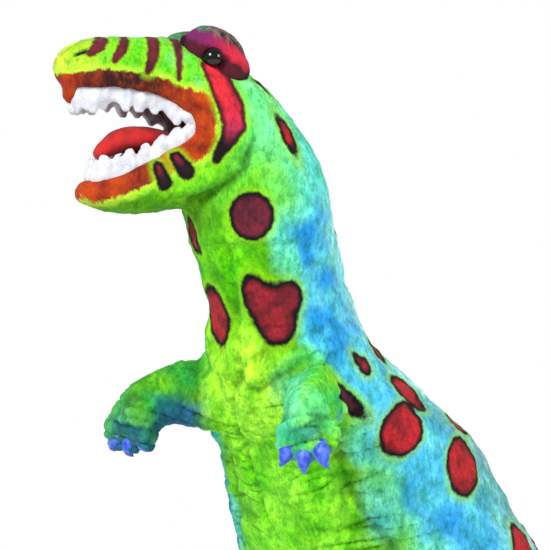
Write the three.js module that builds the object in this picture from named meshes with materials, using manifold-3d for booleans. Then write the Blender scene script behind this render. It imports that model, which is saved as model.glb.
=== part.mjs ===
// A large standing plush tyrannosaur: sewn skins over stuffing on a wire frame, an open mouth with
// padded teeth, and weighted feet. Millimetres, +Z up, the body faces -Y, and its left is +X.
import * as THREE from "three";
import { mergeVertices } from "three/addons/utils/BufferGeometryUtils.js";
import Module from "manifold-3d";

const wasm = await Module();
wasm.setup();

// ---- driving dimensions -------------------------------------------------------------------
const SKIN = 3; // thickness of the plush fabric and its pile
const GAP = 0.4; // left between touching pieces
const FINE = 16; // sides of the body's sections
const COARSE = 10; // sides of a limb's sections
const WIRE = 2.5; // radius of the frame's wire
const SOLE = 4; // thickness of a foot's sole

// The torso and neck from the crotch up, as level sections: height, back, half width, half depth.
const TORSO = [
  [228, 10, 70, 60],
  [262, -8, 122, 98],
  [320, -36, 154, 136],
  [380, -56, 168, 152],
  [440, -72, 168, 157],
  [496, -104, 157, 149],
  [550, -135, 146, 138],
  [584, -165, 138, 132],
  [620, -210, 119, 114],
  [658, -243, 94, 91],
  [692, -256, 79, 79],
  [740, -276, 74, 75],
  [792, -297, 75, 75],
  [850, -315, 74, 73],
];
// The tail from inside the torso to its tip: back, height, half width, half height.
const TAIL = [
  [-10, 318, 112, 104],
  [62, 268, 98, 92],
  [132, 206, 78, 76],
  [212, 146, 61, 61],
  [300, 93, 48, 49],
  [385, 47, 38, 39],
  [455, 25, 28, 29],
  [499, 17, 13, 15],
];
const NECK_BASE = new THREE.Vector3(0, -250, 678); // where the neck bends
const NECK_TOP = new THREE.Vector3(0, -301, 802); // where the head turns
const TAIL_ROOT = new THREE.Vector3(0, 66, 264); // where the tail swings
const TAIL_MIDDLE = new THREE.Vector3(0, 260, 116); // where its end swings
const SHOULDER = new THREE.Vector3(76, -300, 617); // the left arm's, mirrored for the right
const HEAD_TURN = -31; // degrees, the head looks to its right
const LEG_ASIDE = 106;

// The skull and snout in the head's own frame: ahead, up, half width, half height.
const HEAD_ORIGIN = [25, 901]; // ahead of where the head turns, and height
const SKULL = [
  [-27, -125, 75, 74],
  [-26, -98, 75, 74],
  [-20, -62, 73, 68],
  [-4, -24, 68, 57],
  [32, 18, 60, 49],
  [72, 47, 50, 35],
  [113, 53, 41, 29],
  [153, 54, 36, 27],
  [180, 49, 30, 23],
  [197, 45, 17, 13],
];
// The throat and lower jaw, in the same terms.
const JAW = [
  [-12, -62, 58, 39],
  [34, -53, 55, 40],
  [62, -57, 50, 35],
  [85, -65, 44, 30],
  [108, -72, 40, 25],
  [130, -77, 37, 19],
  [150, -79, 31, 13],
  [168, -75, 15, 8],
];
const JAW_HINGE = [47, -4]; // ahead and up in the head
const JAW_BACK = -106; // degrees from straight ahead, where the jaw's skin ends at the throat
const JAW_ROOM = 6; // degrees kept clear on each side of that line
const MOUTH_ROOF = 10; // degrees, the head keeps above this line from the hinge
const MOUTH_FLOOR = -16; // degrees, the jaw keeps below this one

// An arm from its shoulder: along, up, half width, half height.
const ARM = [
  [-34, 4, 36, 44],
  [-6, 1, 34, 40],
  [20, -2, 30, 35],
  [44, -11, 27, 28],
  [66, -24, 28, 27],
  [80, -43, 30, 25],
  [80, -64, 27, 19],
];
const ARM_SPLAY = { left: 28, right: 48 }; // degrees outward from straight ahead
const SHOULDER_BALL = [27, 32, 32]; // half sizes across, along and up the arm
const ARM_SWING = [-30, -15, 6, 12]; // degrees that an arm's stuffing keeps clear for, up to its limits

// A leg as level sections and its foot: height or back, the other, half width, half depth.
const LEG = [
  [414, -66, 46, 72],
  [356, -74, 70, 100],
  [290, -80, 80, 106],
  [222, -76, 70, 90],
  [152, -52, 54, 62],
  [96, -48, 47, 51],
  [34, -60, 46, 54],
];
const FOOT = [
  [6, 27, 38, 33],
  [-40, 29, 48, 37],
  [-100, 27, 56, 36],
  [-152, 22, 56, 30],
  [-190, 19, 44, 25],
];

// ---- vectors, planes and solids -------------------------------------------------------------
const vector = (...at) => new THREE.Vector3(...at);
const UP = vector(0, 0, 1);
const NECK_AXIS = vector(0, -0.39, 0.92).normalize();
const TAIL_AXIS = vector(0, 0.76, -0.65).normalize();
const TAIL_END_AXIS = vector(0, 0.84, -0.54).normalize();
const place = (at) => new THREE.Matrix4().makeTranslation(at.x, at.y, at.z);
const step = (point, direction, distance) => point.clone().addScaledVector(direction, distance);

function solidFrom(vertices, triangles) {
  const mesh = new wasm.Mesh({ numProp: 3, vertProperties: vertices, triVerts: triangles });
  return new wasm.Manifold(mesh);
}

function solidOf(geometry, matrix = new THREE.Matrix4()) {
  const bare = geometry.clone().applyMatrix4(matrix);
  bare.deleteAttribute("normal");
  bare.deleteAttribute("uv");
  const merged = mergeVertices(bare, 1e-4);
  const vertices = merged.attributes.position.array;
  const triangles = new Uint32Array(merged.index.array);
  const made = solidFrom(vertices, triangles);
  return made.volume() > 0 ? made : solidFrom(vertices, triangles.reverse());
}

function geometryOf(solid) {
  const mesh = solid.getMesh();
  const position = new Float32Array(mesh.numVert * 3);
  for (let i = 0; i < mesh.numVert; i++) {
    const from = i * mesh.numProp;
    position.set(mesh.vertProperties.subarray(from, from + 3), i * 3);
  }
  const made = new THREE.BufferGeometry();
  made.setAttribute("position", new THREE.BufferAttribute(position, 3));
  made.setIndex(new THREE.BufferAttribute(mesh.triVerts, 1));
  made.computeVertexNormals();
  return made;
}

// The largest piece of a cut solid, without the crumbs.
const largest = (solid) => solid.decompose().sort((a, b) => b.volume() - a.volume())[0];

// The matrix that carries +Y to a direction, and the origin to a point.
function pointing(direction, at) {
  const turn = new THREE.Quaternion().setFromUnitVectors(vector(0, 1, 0), direction);
  return new THREE.Matrix4().compose(at, turn, vector(1, 1, 1));
}

function ball(radius, at, sides = COARSE) {
  return solidOf(new THREE.SphereGeometry(radius, sides, Math.round(sides * 0.6)), place(at));
}

// A squashed ball, its half sizes given across, back and up, turned about the vertical.
function ellipsoid(halves, at, turn = 0) {
  const shape = new THREE.SphereGeometry(1, COARSE, 8).rotateX(Math.PI / 2);
  return solidOf(shape.scale(...halves).rotateZ(turn), place(at));
}

function rod(radius, from, to, sides = 8) {
  const line = to.clone().sub(from);
  const middle = from.clone().add(to).multiplyScalar(0.5);
  const shape = new THREE.CylinderGeometry(radius, radius, line.length(), sides);
  return solidOf(shape, pointing(line.normalize(), middle));
}

// A wire, and the channel that it lies in, which reaches further at the end that is open.
function wireBetween(from, to, open = 6) {
  const along = to.clone().sub(from).normalize();
  const room = rod(WIRE + GAP, step(from, along, -GAP - open), step(to, along, GAP));
  return { wire: rod(WIRE, from, to), room };
}

// A solid turned by some degrees about an axis through a point.
function turnedAbout(solid, axis, degrees, at) {
  const turn = new THREE.Matrix4().makeRotationAxis(axis, THREE.MathUtils.degToRad(degrees));
  const whole = place(at).multiply(turn).multiply(place(at.clone().negate()));
  return solid.transform(whole.elements);
}

function cone(radius, base, tip) {
  const line = tip.clone().sub(base);
  const middle = base.clone().add(tip).multiplyScalar(0.5);
  const shape = new THREE.ConeGeometry(radius, line.length(), 8);
  return solidOf(shape, pointing(line.normalize(), middle));
}

// Everything behind a plane, as a large box with one face on it.
function behind(point, normal) {
  const box = new THREE.BoxGeometry(1800, 1200, 1800).translate(0, -600, 0);
  return solidOf(box, pointing(normal, point));
}

// A stuffed shape along a curve through its stations' centres. Sections lie square to the curve,
// or level where level is set. The ends can be rounded over a share of the length.
function loft(stations, options = {}) {
  const { sides = COARSE, rows = 9, inset = 0, round = [0, 0], square = 2, level = false } = options;
  const across = options.across ?? vector(1, 0, 0);
  const centre = new THREE.CatmullRomCurve3(stations.map((s) => s.at));
  const halves = new THREE.CatmullRomCurve3(stations.map((s) => vector(...s.half, 0)));
  const geometry = new THREE.CylinderGeometry(1, 1, 1, sides, rows);
  const position = geometry.attributes.position;
  const closing = (t, share) => (t < share ? Math.sqrt(1 - (1 - Math.max(t / share, 0.06)) ** 2) : 1);
  for (let i = 0; i < position.count; i++) {
    const spread = round[0] + round[1] > 0 ? 0.07 : 0;
    const row = position.getY(i) + 0.5;
    const t = THREE.MathUtils.clamp(row - Math.sin(2 * Math.PI * row) * spread, 0, 1);
    const point = centre.getPoint(t);
    const half = halves.getPoint(t);
    const ahead = level ? UP.clone() : centre.getTangent(t);
    const wide = step(across, ahead, -across.dot(ahead)).normalize();
    const high = vector().crossVectors(ahead, wide);
    const shut = closing(t, round[0]) * closing(1 - t, round[1]);
    const angle = Math.atan2(position.getZ(i), position.getX(i));
    const reach = Math.hypot(position.getX(i), position.getZ(i)) * shut;
    const bulge = (v) => Math.sign(v) * Math.abs(v) ** (2 / square) * reach;
    point.addScaledVector(wide, bulge(Math.cos(angle)) * (half.x - inset));
    point.addScaledVector(high, bulge(Math.sin(angle)) * (half.y - inset));
    if (t < round[0]) point.addScaledVector(centre.getTangent(t), inset);
    if (1 - t < round[1]) point.addScaledVector(centre.getTangent(t), -inset);
    position.setXYZ(i, point.x, point.y, point.z);
  }
  return solidOf(geometry);
}

// ---- the assembly ---------------------------------------------------------------------------
const COLOURS = {
  green_plush: 0x63d12a,
  lime_plush: 0x8ee012,
  blue_plush: 0x4fc4ee,
  brow_plush: 0xa8324f,
  maroon_felt: 0x4a1016,
  white_felt: 0xe4e7e6,
  red_felt: 0xb80f14,
  blue_satin: 0x2c62cf,
  stuffing: 0xf2f0ea,
  black_plastic: 0x0a0a0a,
  white_plastic: 0xdedede,
  steel_wire: 0x8c8f92,
  pellet_cloth: 0xcfc6ae,
};
const ROUGHNESS = { black_plastic: 0.1, white_plastic: 0.4, steel_wire: 0.4, blue_satin: 0.5 };

const materials = {};
for (const [name, color] of Object.entries(COLOURS)) {
  const metalness = name === "steel_wire" ? 1 : 0;
  const roughness = ROUGHNESS[name] ?? 0.95;
  materials[name] = new THREE.MeshStandardMaterial({ name, color, roughness, metalness });
}

const dinosaur = new THREE.Group();
const head = new THREE.Group();
head.position.set(NECK_TOP.x, NECK_TOP.y, 0);
head.rotation.z = THREE.MathUtils.degToRad(HEAD_TURN);
dinosaur.add(head);

function add(name, solid, material, group = dinosaur) {
  const mesh = new THREE.Mesh(geometryOf(largest(solid.simplify(0.12))), materials[material]);
  mesh.name = name;
  group.add(mesh);
}

// ---- torso, neck and tail -------------------------------------------------------------------
const torsoStations = TORSO.map(([z, y, w, d]) => ({ at: vector(0, y, z), half: [w, d] }));
const tailStations = TAIL.map(([y, z, w, h]) => ({ at: vector(0, y, z), half: [w, h] }));

function torsoShape(inset) {
  return loft(torsoStations, { sides: FINE, rows: 15, inset, round: [0.12, 0], level: true });
}

function bodyShape(inset) {
  const tail = loft(tailStations, { rows: 9, inset, round: [0, 0.08] });
  const floor = behind(vector(0, 0, inset), UP);
  return torsoShape(inset).add(tail).subtract(floor);
}

const bodySkin = bodyShape(0).subtract(bodyShape(SKIN));
const bodyFill = bodyShape(SKIN + GAP);
const bodyClear = bodyShape(-GAP);

const underNeck = behind(NECK_BASE, NECK_AXIS);
const underNeckGap = behind(step(NECK_BASE, NECK_AXIS, GAP), NECK_AXIS);
const underHead = behind(NECK_TOP, UP);
const beforeTail = behind(TAIL_ROOT, TAIL_AXIS);
const beforeTailGap = behind(step(TAIL_ROOT, TAIL_AXIS, GAP), TAIL_AXIS);
const beforeEnd = behind(TAIL_MIDDLE, TAIL_END_AXIS);
const beforeEndGap = behind(step(TAIL_MIDDLE, TAIL_END_AXIS, GAP), TAIL_END_AXIS);

// The belly panel is the front of the torso's skin, between the side seams.
const BELLY_HALF_ANGLE = 50; // degrees either way from straight ahead
const BELLY_BACK = vector(0, -60, 420); // a point on the line that the wedge opens from
const BELLY_LINE = vector(0, -0.5, 0.87).normalize();

function bellyWedge(halfAngle) {
  const half = THREE.MathUtils.degToRad(halfAngle);
  const reach = 400;
  const outline = new THREE.Shape();
  outline.moveTo(0, 0);
  outline.lineTo(reach * Math.sin(half), reach * Math.cos(half));
  outline.lineTo(-reach * Math.sin(half), reach * Math.cos(half));
  outline.closePath();
  const wedge = new THREE.ExtrudeGeometry(outline, { depth: 760, bevelEnabled: false });
  const forward = vector(0, -BELLY_LINE.z, BELLY_LINE.y);
  const aside = vector().crossVectors(forward, BELLY_LINE);
  const turned = new THREE.Matrix4().makeBasis(aside, forward, BELLY_LINE);
  turned.setPosition(step(BELLY_BACK, BELLY_LINE, -380));
  return solidOf(wedge, turned);
}

// Each limb's stuffing ends in a ball that turns in a hollow of the torso's.
const CUP_GAP = 2.2;
const NECK_BALL = 67;
const TAIL_BALL = 80;
const END_BALL = 44;

const spineTop = step(NECK_BASE, NECK_AXIS, -NECK_BALL - CUP_GAP - 1);
const spineWire = wireBetween(spineTop, vector(0, -70, 330));
const legWires = [1, -1].map((side) =>
  wireBetween(vector(side * 62, -66, 400), vector(side * LEG_ASIDE, -58, 26), 0),
);

// The rounded root of an arm's stuffing, or the hollow that it turns in.
function shoulderBall(side, grow) {
  const splay = THREE.MathUtils.degToRad(ARM_SPLAY[side > 0 ? "left" : "right"]);
  const at = vector(SHOULDER.x * side, SHOULDER.y, SHOULDER.z);
  return ellipsoid(SHOULDER_BALL.map((half) => half + grow), at, side * splay);
}

function torso() {
  const holes = [1, -1].map((side) => shoulderBall(side, CUP_GAP));
  holes.push(...legWires.map((leg) => leg.room));
  let skin = bodySkin.intersect(underNeck).intersect(beforeTail);
  for (const hole of holes) skin = skin.subtract(hole);
  add("torso_skin", skin.subtract(bellyWedge(BELLY_HALF_ANGLE)), "blue_plush");
  add("belly_panel", skin.intersect(bellyWedge(BELLY_HALF_ANGLE - 0.2)), "lime_plush");

  const neckRoom = behind(step(NECK_BASE, NECK_AXIS, -28), NECK_AXIS);
  const tailRoom = behind(step(TAIL_ROOT, TAIL_AXIS, -38), TAIL_AXIS);
  let fill = bodyFill.intersect(neckRoom).intersect(tailRoom);
  fill = fill.subtract(ball(NECK_BALL + CUP_GAP, NECK_BASE, FINE));
  fill = fill.subtract(ball(TAIL_BALL + CUP_GAP, TAIL_ROOT, FINE));
  for (const hole of [...holes, spineWire.room]) fill = fill.subtract(hole);
  add("torso_stuffing", fill, "stuffing");
  add("spine_wire", spineWire.wire, "steel_wire");
}

function neck() {
  add("neck_skin", bodySkin.subtract(underNeckGap).intersect(underHead), "blue_plush");
  const { wire, room } = wireBetween(step(NECK_TOP, UP, -2), step(NECK_BASE, NECK_AXIS, -50));
  const column = bodyFill.subtract(underNeckGap).intersect(underHead);
  const stuffing = column.add(ball(NECK_BALL, NECK_BASE, FINE)).subtract(room);
  add("neck_stuffing", stuffing, "stuffing");
  add("neck_wire", wire, "steel_wire");
}

function tail() {
  const between = bodyFill.subtract(beforeTailGap);
  add("tail_skin", bodySkin.subtract(beforeTailGap).intersect(beforeEnd), "blue_plush");
  const endRoom = behind(step(TAIL_MIDDLE, TAIL_END_AXIS, -20), TAIL_END_AXIS);
  const first = wireBetween(vector(0, 206, 152), step(TAIL_ROOT, TAIL_AXIS, -60), 30);
  const stuffing = between.intersect(endRoom).add(ball(TAIL_BALL, TAIL_ROOT, FINE));
  const cup = ball(END_BALL + CUP_GAP, TAIL_MIDDLE, 16);
  add("tail_stuffing", stuffing.subtract(cup).subtract(first.room), "stuffing");
  add("tail_wire", first.wire, "steel_wire");

  add("tail_end_skin", bodySkin.subtract(beforeEndGap), "blue_plush");
  const second = wireBetween(step(TAIL_MIDDLE, TAIL_END_AXIS, -42), vector(0, 440, 34), 12);
  const end = bodyFill.subtract(beforeEndGap).add(ball(END_BALL, TAIL_MIDDLE, 16));
  add("tail_end_stuffing", end.subtract(second.room), "stuffing");
  add("tail_end_wire", second.wire, "steel_wire");
}

// ---- arms -------------------------------------------------------------------------------------
function arm(side) {
  const name = side > 0 ? "left" : "right";
  const splay = THREE.MathUtils.degToRad(ARM_SPLAY[name]);
  const ahead = vector(side * Math.sin(splay), -Math.cos(splay), 0);
  const across = vector(Math.cos(splay), side * Math.sin(splay), 0);
  const shoulder = vector(SHOULDER.x * side, SHOULDER.y, SHOULDER.z);
  const onArm = (a, h, w = 0) => step(step(step(shoulder, ahead, a), UP, h), across, w);
  const stations = ARM.map(([a, h, w, d]) => ({ at: onArm(a, h), half: [w, d] }));
  const shape = (inset) => loft(stations, { across, rows: 7, inset, round: [0, 0.14] });
  const skin = shape(0).subtract(shape(SKIN)).subtract(bodyClear);
  add(`${name}_arm_skin`, skin, "green_plush");
  const root = shoulderBall(side, 0).intersect(behind(step(shoulder, ahead, 3), ahead));
  let core = shape(SKIN + GAP).subtract(bodyClear);
  for (const swing of ARM_SWING) core = core.subtract(turnedAbout(bodyShape(SKIN), across, -swing, shoulder));
  add(`${name}_arm_stuffing`, core.add(root), "stuffing");
  const clear = shape(-GAP);
  for (const [i, spread] of [-16, 0, 16].entries()) {
    const claw = cone(8, onArm(80, -58, spread), onArm(86, -90, spread * 1.1));
    add(`${name}_hand_claw_${i + 1}`, claw.subtract(clear), "blue_satin");
  }
}

// ---- legs -------------------------------------------------------------------------------------
function leg(side) {
  const name = side > 0 ? "left" : "right";
  const x = side * LEG_ASIDE;
  const shank = LEG.map(([z, y, w, d]) => ({ at: vector(x, y, z), half: [w, d] }));
  const foot = FOOT.map(([y, z, w, h]) => ({ at: vector(x, y, z), half: [w, h] }));
  const shape = (inset) => {
    const upright = loft(shank, { rows: 6, inset, round: [0.2, 0], level: true });
    return upright.add(loft(foot, { rows: 6, inset, round: [0.2, 0.2], square: 3 }));
  };
  const { wire, room } = side > 0 ? legWires[0] : legWires[1];
  const bagAt = vector(x, -118, 28);
  const bag = ellipsoid([34, 46, 16], bagAt);
  const bagRoom = ellipsoid([35, 47, 17], bagAt).add(rod(24, vector(x, -118, 0), bagAt, COARSE));
  const aboveSole = (height) => behind(vector(x, 0, height), UP);

  const outer = shape(0);
  const skin = outer.subtract(shape(SKIN)).subtract(bodyClear).subtract(aboveSole(SOLE + GAP));
  add(`${name}_leg_skin`, skin, "green_plush");
  const core = shape(SKIN + GAP).subtract(bodyClear).subtract(aboveSole(SOLE + GAP));
  add(`${name}_leg_stuffing`, core.subtract(room).subtract(bagRoom), "stuffing");
  add(`${name}_leg_wire`, wire, "steel_wire");
  add(`${name}_pellet_bag`, bag, "pellet_cloth");
  add(`${name}_sole`, outer.intersect(aboveSole(SOLE)).subtract(aboveSole(0)), "green_plush");
  const clear = shape(-GAP);
  for (const [i, spread] of [-34, 0, 34].entries()) {
    const back = -178 + Math.abs(spread) * 0.4;
    const claw = cone(13, vector(x + spread, back, 26), vector(x + spread * 1.2, back - 44, 6));
    add(`${name}_foot_claw_${i + 1}`, claw.subtract(clear), "blue_satin");
  }
}

// ---- head and jaw, built about the axis that the head turns on --------------------------------
function inHead(ahead, high, aside = 0) {
  return vector(aside, -HEAD_ORIGIN[0] - ahead, HEAD_ORIGIN[1] + high);
}
const inHeadStations = (rows) => rows.map(([a, h, w, d]) => ({ at: inHead(a, h), half: [w, d] }));

function skullShape(inset) {
  const options = { sides: FINE, rows: 10, inset, round: [0, 0.12], square: 2.3 };
  return loft(inHeadStations(SKULL), options);
}

function jawShape(inset) {
  const options = { sides: FINE, rows: 7, inset, round: [0, 0.16], square: 2.3 };
  return loft(inHeadStations(JAW), options);
}

const HINGE = inHead(...JAW_HINGE);

// The space in front of the hinge between two slanted lines, all across the head.
function frontWedge(upper, lower, reach = 300) {
  const at = (degrees) => {
    const angle = THREE.MathUtils.degToRad(degrees);
    return [reach * Math.cos(angle), reach * Math.sin(angle)];
  };
  const outline = new THREE.Shape();
  outline.moveTo(0, 0);
  outline.lineTo(...at(lower));
  outline.lineTo(reach, at(lower)[1]);
  outline.lineTo(reach, at(upper)[1]);
  outline.lineTo(...at(upper));
  outline.closePath();
  const slab = new THREE.ExtrudeGeometry(outline, { depth: 300, bevelEnabled: false });
  const turned = new THREE.Matrix4().makeBasis(vector(0, -1, 0), UP, vector(-1, 0, 0));
  turned.setPosition(150, HINGE.y, HINGE.z);
  return solidOf(slab, turned);
}

// How far below or above its centre line a jaw's surface lies, at a place ahead and aside.
function surface(rows, ahead, aside, direction) {
  let i = 0;
  while (i < rows.length - 2 && rows[i + 1][0] < ahead) i += 1;
  const [from, to] = [rows[i], rows[i + 1]];
  const share = THREE.MathUtils.clamp((ahead - from[0]) / (to[0] - from[0]), 0, 1);
  const mixed = (k) => THREE.MathUtils.lerp(from[k], to[k], share);
  const room = 1 - Math.min(Math.abs(aside) / mixed(2), 0.98) ** 2.3;
  return mixed(1) + direction * mixed(3) * room ** (1 / 2.3);
}

// The U of a jaw seen from above, from its right corner to its left: ahead and aside.
const MOUTH = { back: 60, half: 38 };
function mouthLine(share, front, inward) {
  const angle = Math.PI * share;
  const half = (MOUTH.half - inward) * (1 - 0.12 * Math.sin(angle));
  const ahead = MOUTH.back + (front - inward - MOUTH.back) * Math.sin(angle) ** 0.55;
  return [ahead, half * -Math.sign(Math.cos(angle)) * Math.abs(Math.cos(angle)) ** 0.6];
}

// A prism over the U, inward of the teeth, for the linings of the mouth.
function mouthPrism(front, inward, low, high) {
  const outline = new THREE.Shape();
  for (let i = 0; i <= 16; i++) {
    const [ahead, aside] = mouthLine(i / 16, front, inward);
    if (i === 0) outline.moveTo(-aside, ahead);
    else outline.lineTo(-aside, ahead);
  }
  outline.closePath();
  const prism = new THREE.ExtrudeGeometry(outline, { depth: high - low, bevelEnabled: false });
  const turned = new THREE.Matrix4().makeBasis(vector(-1, 0, 0), vector(0, -1, 0), UP);
  turned.setPosition(0, -HEAD_ORIGIN[0], HEAD_ORIGIN[1] + low);
  return solidOf(prism, turned);
}

// A padded strip of teeth round a jaw. Direction is +1 for teeth that stand up from it.
const TOOTH = { count: 13, height: 16, thick: 4 };
function teeth(rows, front, direction) {
  const columns = TOOTH.count * 2;
  const geometry = new THREE.BoxGeometry(1, 1, 1, columns, 1, 1);
  const position = geometry.attributes.position;
  for (let i = 0; i < position.count; i++) {
    const column = Math.round((position.getX(i) + 0.5) * columns);
    const inward = position.getZ(i) < 0 ? 2 + TOOTH.thick : 2;
    const [ahead, aside] = mouthLine(column / columns, front, inward);
    const peak = column % 2 === 1 ? 1 : 0.55;
    const tall = position.getY(i) > 0 ? TOOTH.height * peak : -6;
    const base = surface(rows, ahead, aside, direction);
    const at = inHead(ahead, base + direction * tall, aside);
    position.setXYZ(i, at.x, at.y, at.z);
  }
  return solidOf(geometry);
}

const UPPER_FRONT = 184;
const LOWER_FRONT = 160;
const EYE = { ahead: 42, up: 61, aside: 50, radius: 10.5 };
const BROW = { ahead: 40, up: 66, aside: 34, halves: [18, 38, 30] };

function upperHead() {
  const outer = skullShape(0).add(jawShape(0));
  const inner = skullShape(SKIN).add(jawShape(SKIN));
  const fill = skullShape(SKIN + GAP).add(jawShape(SKIN + GAP));
  const collar = behind(step(NECK_TOP, UP, GAP), UP);
  const lining = mouthPrism(UPPER_FRONT, 7, -30, 46);
  const liningRoom = mouthPrism(UPPER_FRONT, 7 - GAP, -30, 46);
  const mouth = frontWedge(MOUTH_ROOF, JAW_BACK);
  const eyeRooms = [1, -1].map((side) => eye(side).room);
  let shell = outer.subtract(inner).subtract(collar).subtract(mouth);
  for (const hole of eyeRooms) shell = shell.subtract(hole);
  add("head_skin", shell.subtract(liningRoom), "green_plush", head);
  const roof = skullShape(0).subtract(skullShape(SKIN)).subtract(mouth);
  add("palate", roof.intersect(lining), "maroon_felt", head);

  const jawSweep = frontWedge(MOUTH_ROOF, JAW_BACK - JAW_ROOM);
  const { wire, room } = wireBetween(vector(0, 0, NECK_TOP.z + 2), inHead(4, -10));
  const across = (distance) => step(HINGE, vector(1, 0, 0), distance);
  let stuffing = fill.subtract(collar).subtract(jawSweep).subtract(rod(10, across(-90), across(90)));
  for (const hole of [room, ...eyeRooms]) stuffing = stuffing.subtract(hole);
  add("head_stuffing", stuffing, "stuffing", head);
  add("head_wire", wire, "steel_wire", head);
  add("upper_teeth", teeth(SKULL, UPPER_FRONT, -1).subtract(skullShape(-GAP)), "white_felt", head);
}

function lowerJaw() {
  const region = frontWedge(MOUTH_FLOOR, JAW_BACK + GAP);
  const shell = jawShape(0).subtract(jawShape(SKIN)).intersect(region);
  const lining = mouthPrism(LOWER_FRONT, 7, -76, 0);
  const clear = skullShape(-GAP);
  add("jaw_skin", shell.subtract(mouthPrism(LOWER_FRONT, 7 - GAP, -76, 0)).subtract(clear),
    "green_plush", head);
  add("mouth_floor", shell.intersect(lining).subtract(clear), "maroon_felt", head);
  const core = jawShape(SKIN + GAP).intersect(frontWedge(MOUTH_FLOOR, JAW_BACK + JAW_ROOM));
  add("jaw_stuffing", core.subtract(clear), "stuffing", head);
  const jawClear = jawShape(-GAP);
  add("lower_teeth", teeth(JAW, LOWER_FRONT, 1).subtract(jawClear), "white_felt", head);
  const line = [[64, -28, 14, 5], [86, -16, 19, 5], [116, -19, 20, 5], [144, -30, 13, 4]];
  const tongue = loft(inHeadStations(line), { sides: 12, rows: 7, round: [0, 0.3] });
  add("tongue", tongue.subtract(jawClear), "red_felt", head);
}

// A safety eye: a ball on a stem, the washer that locks it, and the room that they take up.
function eye(side) {
  const centre = inHead(EYE.ahead, EYE.up, side * EYE.aside);
  const inwards = vector(-side, 0.12, 0).normalize();
  const disc = (grow) => {
    const middle = step(centre, inwards, 19);
    return rod(8 + grow, step(middle, inwards, -1.2 - grow), step(middle, inwards, 1.2 + grow), 12);
  };
  const stem = (grow) => rod(2.5 + grow, centre, step(centre, inwards, 24 + grow));
  return {
    eye: ball(EYE.radius, centre, 12).add(stem(0)),
    washer: disc(0).subtract(stem(GAP)),
    room: ball(EYE.radius + GAP, centre, 12).add(stem(GAP)).add(disc(GAP)),
  };
}

function face(side) {
  const name = side > 0 ? "left" : "right";
  const parts = eye(side);
  add(`${name}_eye`, parts.eye, "black_plastic", head);
  add(`${name}_eye_washer`, parts.washer, "white_plastic", head);
  const brow = ellipsoid(BROW.halves, inHead(BROW.ahead, BROW.up, side * BROW.aside));
  add(`${name}_brow`, brow.subtract(skullShape(-GAP)).subtract(parts.room), "brow_plush", head);
}

torso();
neck();
tail();
for (const side of [1, -1]) arm(side);
for (const side of [1, -1]) leg(side);
upperHead();
lowerJaw();
for (const side of [1, -1]) face(side);

export default dinosaur;
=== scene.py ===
"""A large standing plush tyrannosaur: airbrushed short-pile fabric over stuffing, padded teeth, satin claws.
Tables and modelling are in millimetres; meshes are made in metres. The body faces -Y and its left is +X."""

import math

import bpy
import numpy as np
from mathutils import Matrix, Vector, noise
from mathutils.kdtree import KDTree


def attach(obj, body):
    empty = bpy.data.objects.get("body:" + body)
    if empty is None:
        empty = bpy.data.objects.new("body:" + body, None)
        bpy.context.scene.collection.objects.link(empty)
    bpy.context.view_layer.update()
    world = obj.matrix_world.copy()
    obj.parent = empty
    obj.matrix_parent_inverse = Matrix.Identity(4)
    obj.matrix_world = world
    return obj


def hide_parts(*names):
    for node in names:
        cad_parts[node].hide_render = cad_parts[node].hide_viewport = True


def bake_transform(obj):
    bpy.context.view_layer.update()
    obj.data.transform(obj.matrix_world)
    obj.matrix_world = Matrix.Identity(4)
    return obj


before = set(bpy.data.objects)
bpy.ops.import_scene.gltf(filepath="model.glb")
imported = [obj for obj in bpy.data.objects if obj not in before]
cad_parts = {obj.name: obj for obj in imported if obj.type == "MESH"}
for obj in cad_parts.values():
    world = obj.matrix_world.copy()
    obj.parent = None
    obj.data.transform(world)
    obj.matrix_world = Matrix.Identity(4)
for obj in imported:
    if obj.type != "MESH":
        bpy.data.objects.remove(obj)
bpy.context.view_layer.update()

# ---- driving dimensions, as the CAD has them ------------------------------------------------
TORSO = [  # height, back, half width, half depth
    [228, 10, 66, 56], [262, -8, 122, 98], [320, -36, 154, 136], [380, -56, 168, 152],
    [440, -72, 168, 157], [496, -104, 157, 149], [550, -135, 146, 138], [584, -165, 138, 132],
    [620, -210, 119, 114], [658, -243, 94, 91], [692, -256, 79, 79], [740, -276, 74, 75],
    [792, -297, 75, 75], [850, -315, 70, 69],
]
TAIL = [  # back, height, half width, half height
    [-10, 318, 112, 104], [62, 268, 98, 92], [132, 206, 78, 76], [212, 146, 61, 61],
    [300, 93, 48, 49], [385, 47, 38, 39], [455, 25, 28, 25], [490, 19, 17, 17],
]
LEG = [  # height, back, half width, half depth
    [414, -66, 46, 72], [356, -74, 70, 100], [290, -80, 80, 106], [222, -76, 70, 90],
    [152, -52, 54, 62], [96, -48, 47, 51], [40, -56, 46, 54],
]
FOOT = [  # back, height, half width, half height
    [-6, 27, 36, 28], [-40, 29, 47, 34], [-100, 27, 54, 34], [-146, 22, 50, 26],
]
ARM = [  # along, up, half width, half height
    [-34, 4, 34, 42], [-6, 1, 33, 39], [20, -2, 28, 34],
    [44, -9, 25, 29], [62, -20, 26, 30], [69, -36, 26, 27],
]
SKULL = [  # ahead, up, half width, half height, in the head
    [-27, -125, 72, 71], [-26, -98, 74, 73], [-20, -62, 73, 68], [-4, -24, 68, 57], [32, 18, 60, 49],
    [72, 47, 50, 35], [113, 53, 41, 29], [150, 54, 36, 27], [174, 50, 30, 22], [186, 47, 20, 15],
]
JAW = [
    [-12, -62, 58, 39], [34, -53, 55, 40], [62, -57, 50, 35], [85, -65, 44, 30], [108, -72, 40, 25],
    [130, -77, 37, 19], [150, -79, 31, 13], [163, -77, 20, 9],
]
NECK_BASE = np.array([0, -250, 678.0])
NECK_TOP = np.array([0, -301, 802.0])
TAIL_ROOT = np.array([0, 66, 264.0])
TAIL_MIDDLE = np.array([0, 260, 116.0])
SHOULDER = np.array([76, -300, 617.0])
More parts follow.
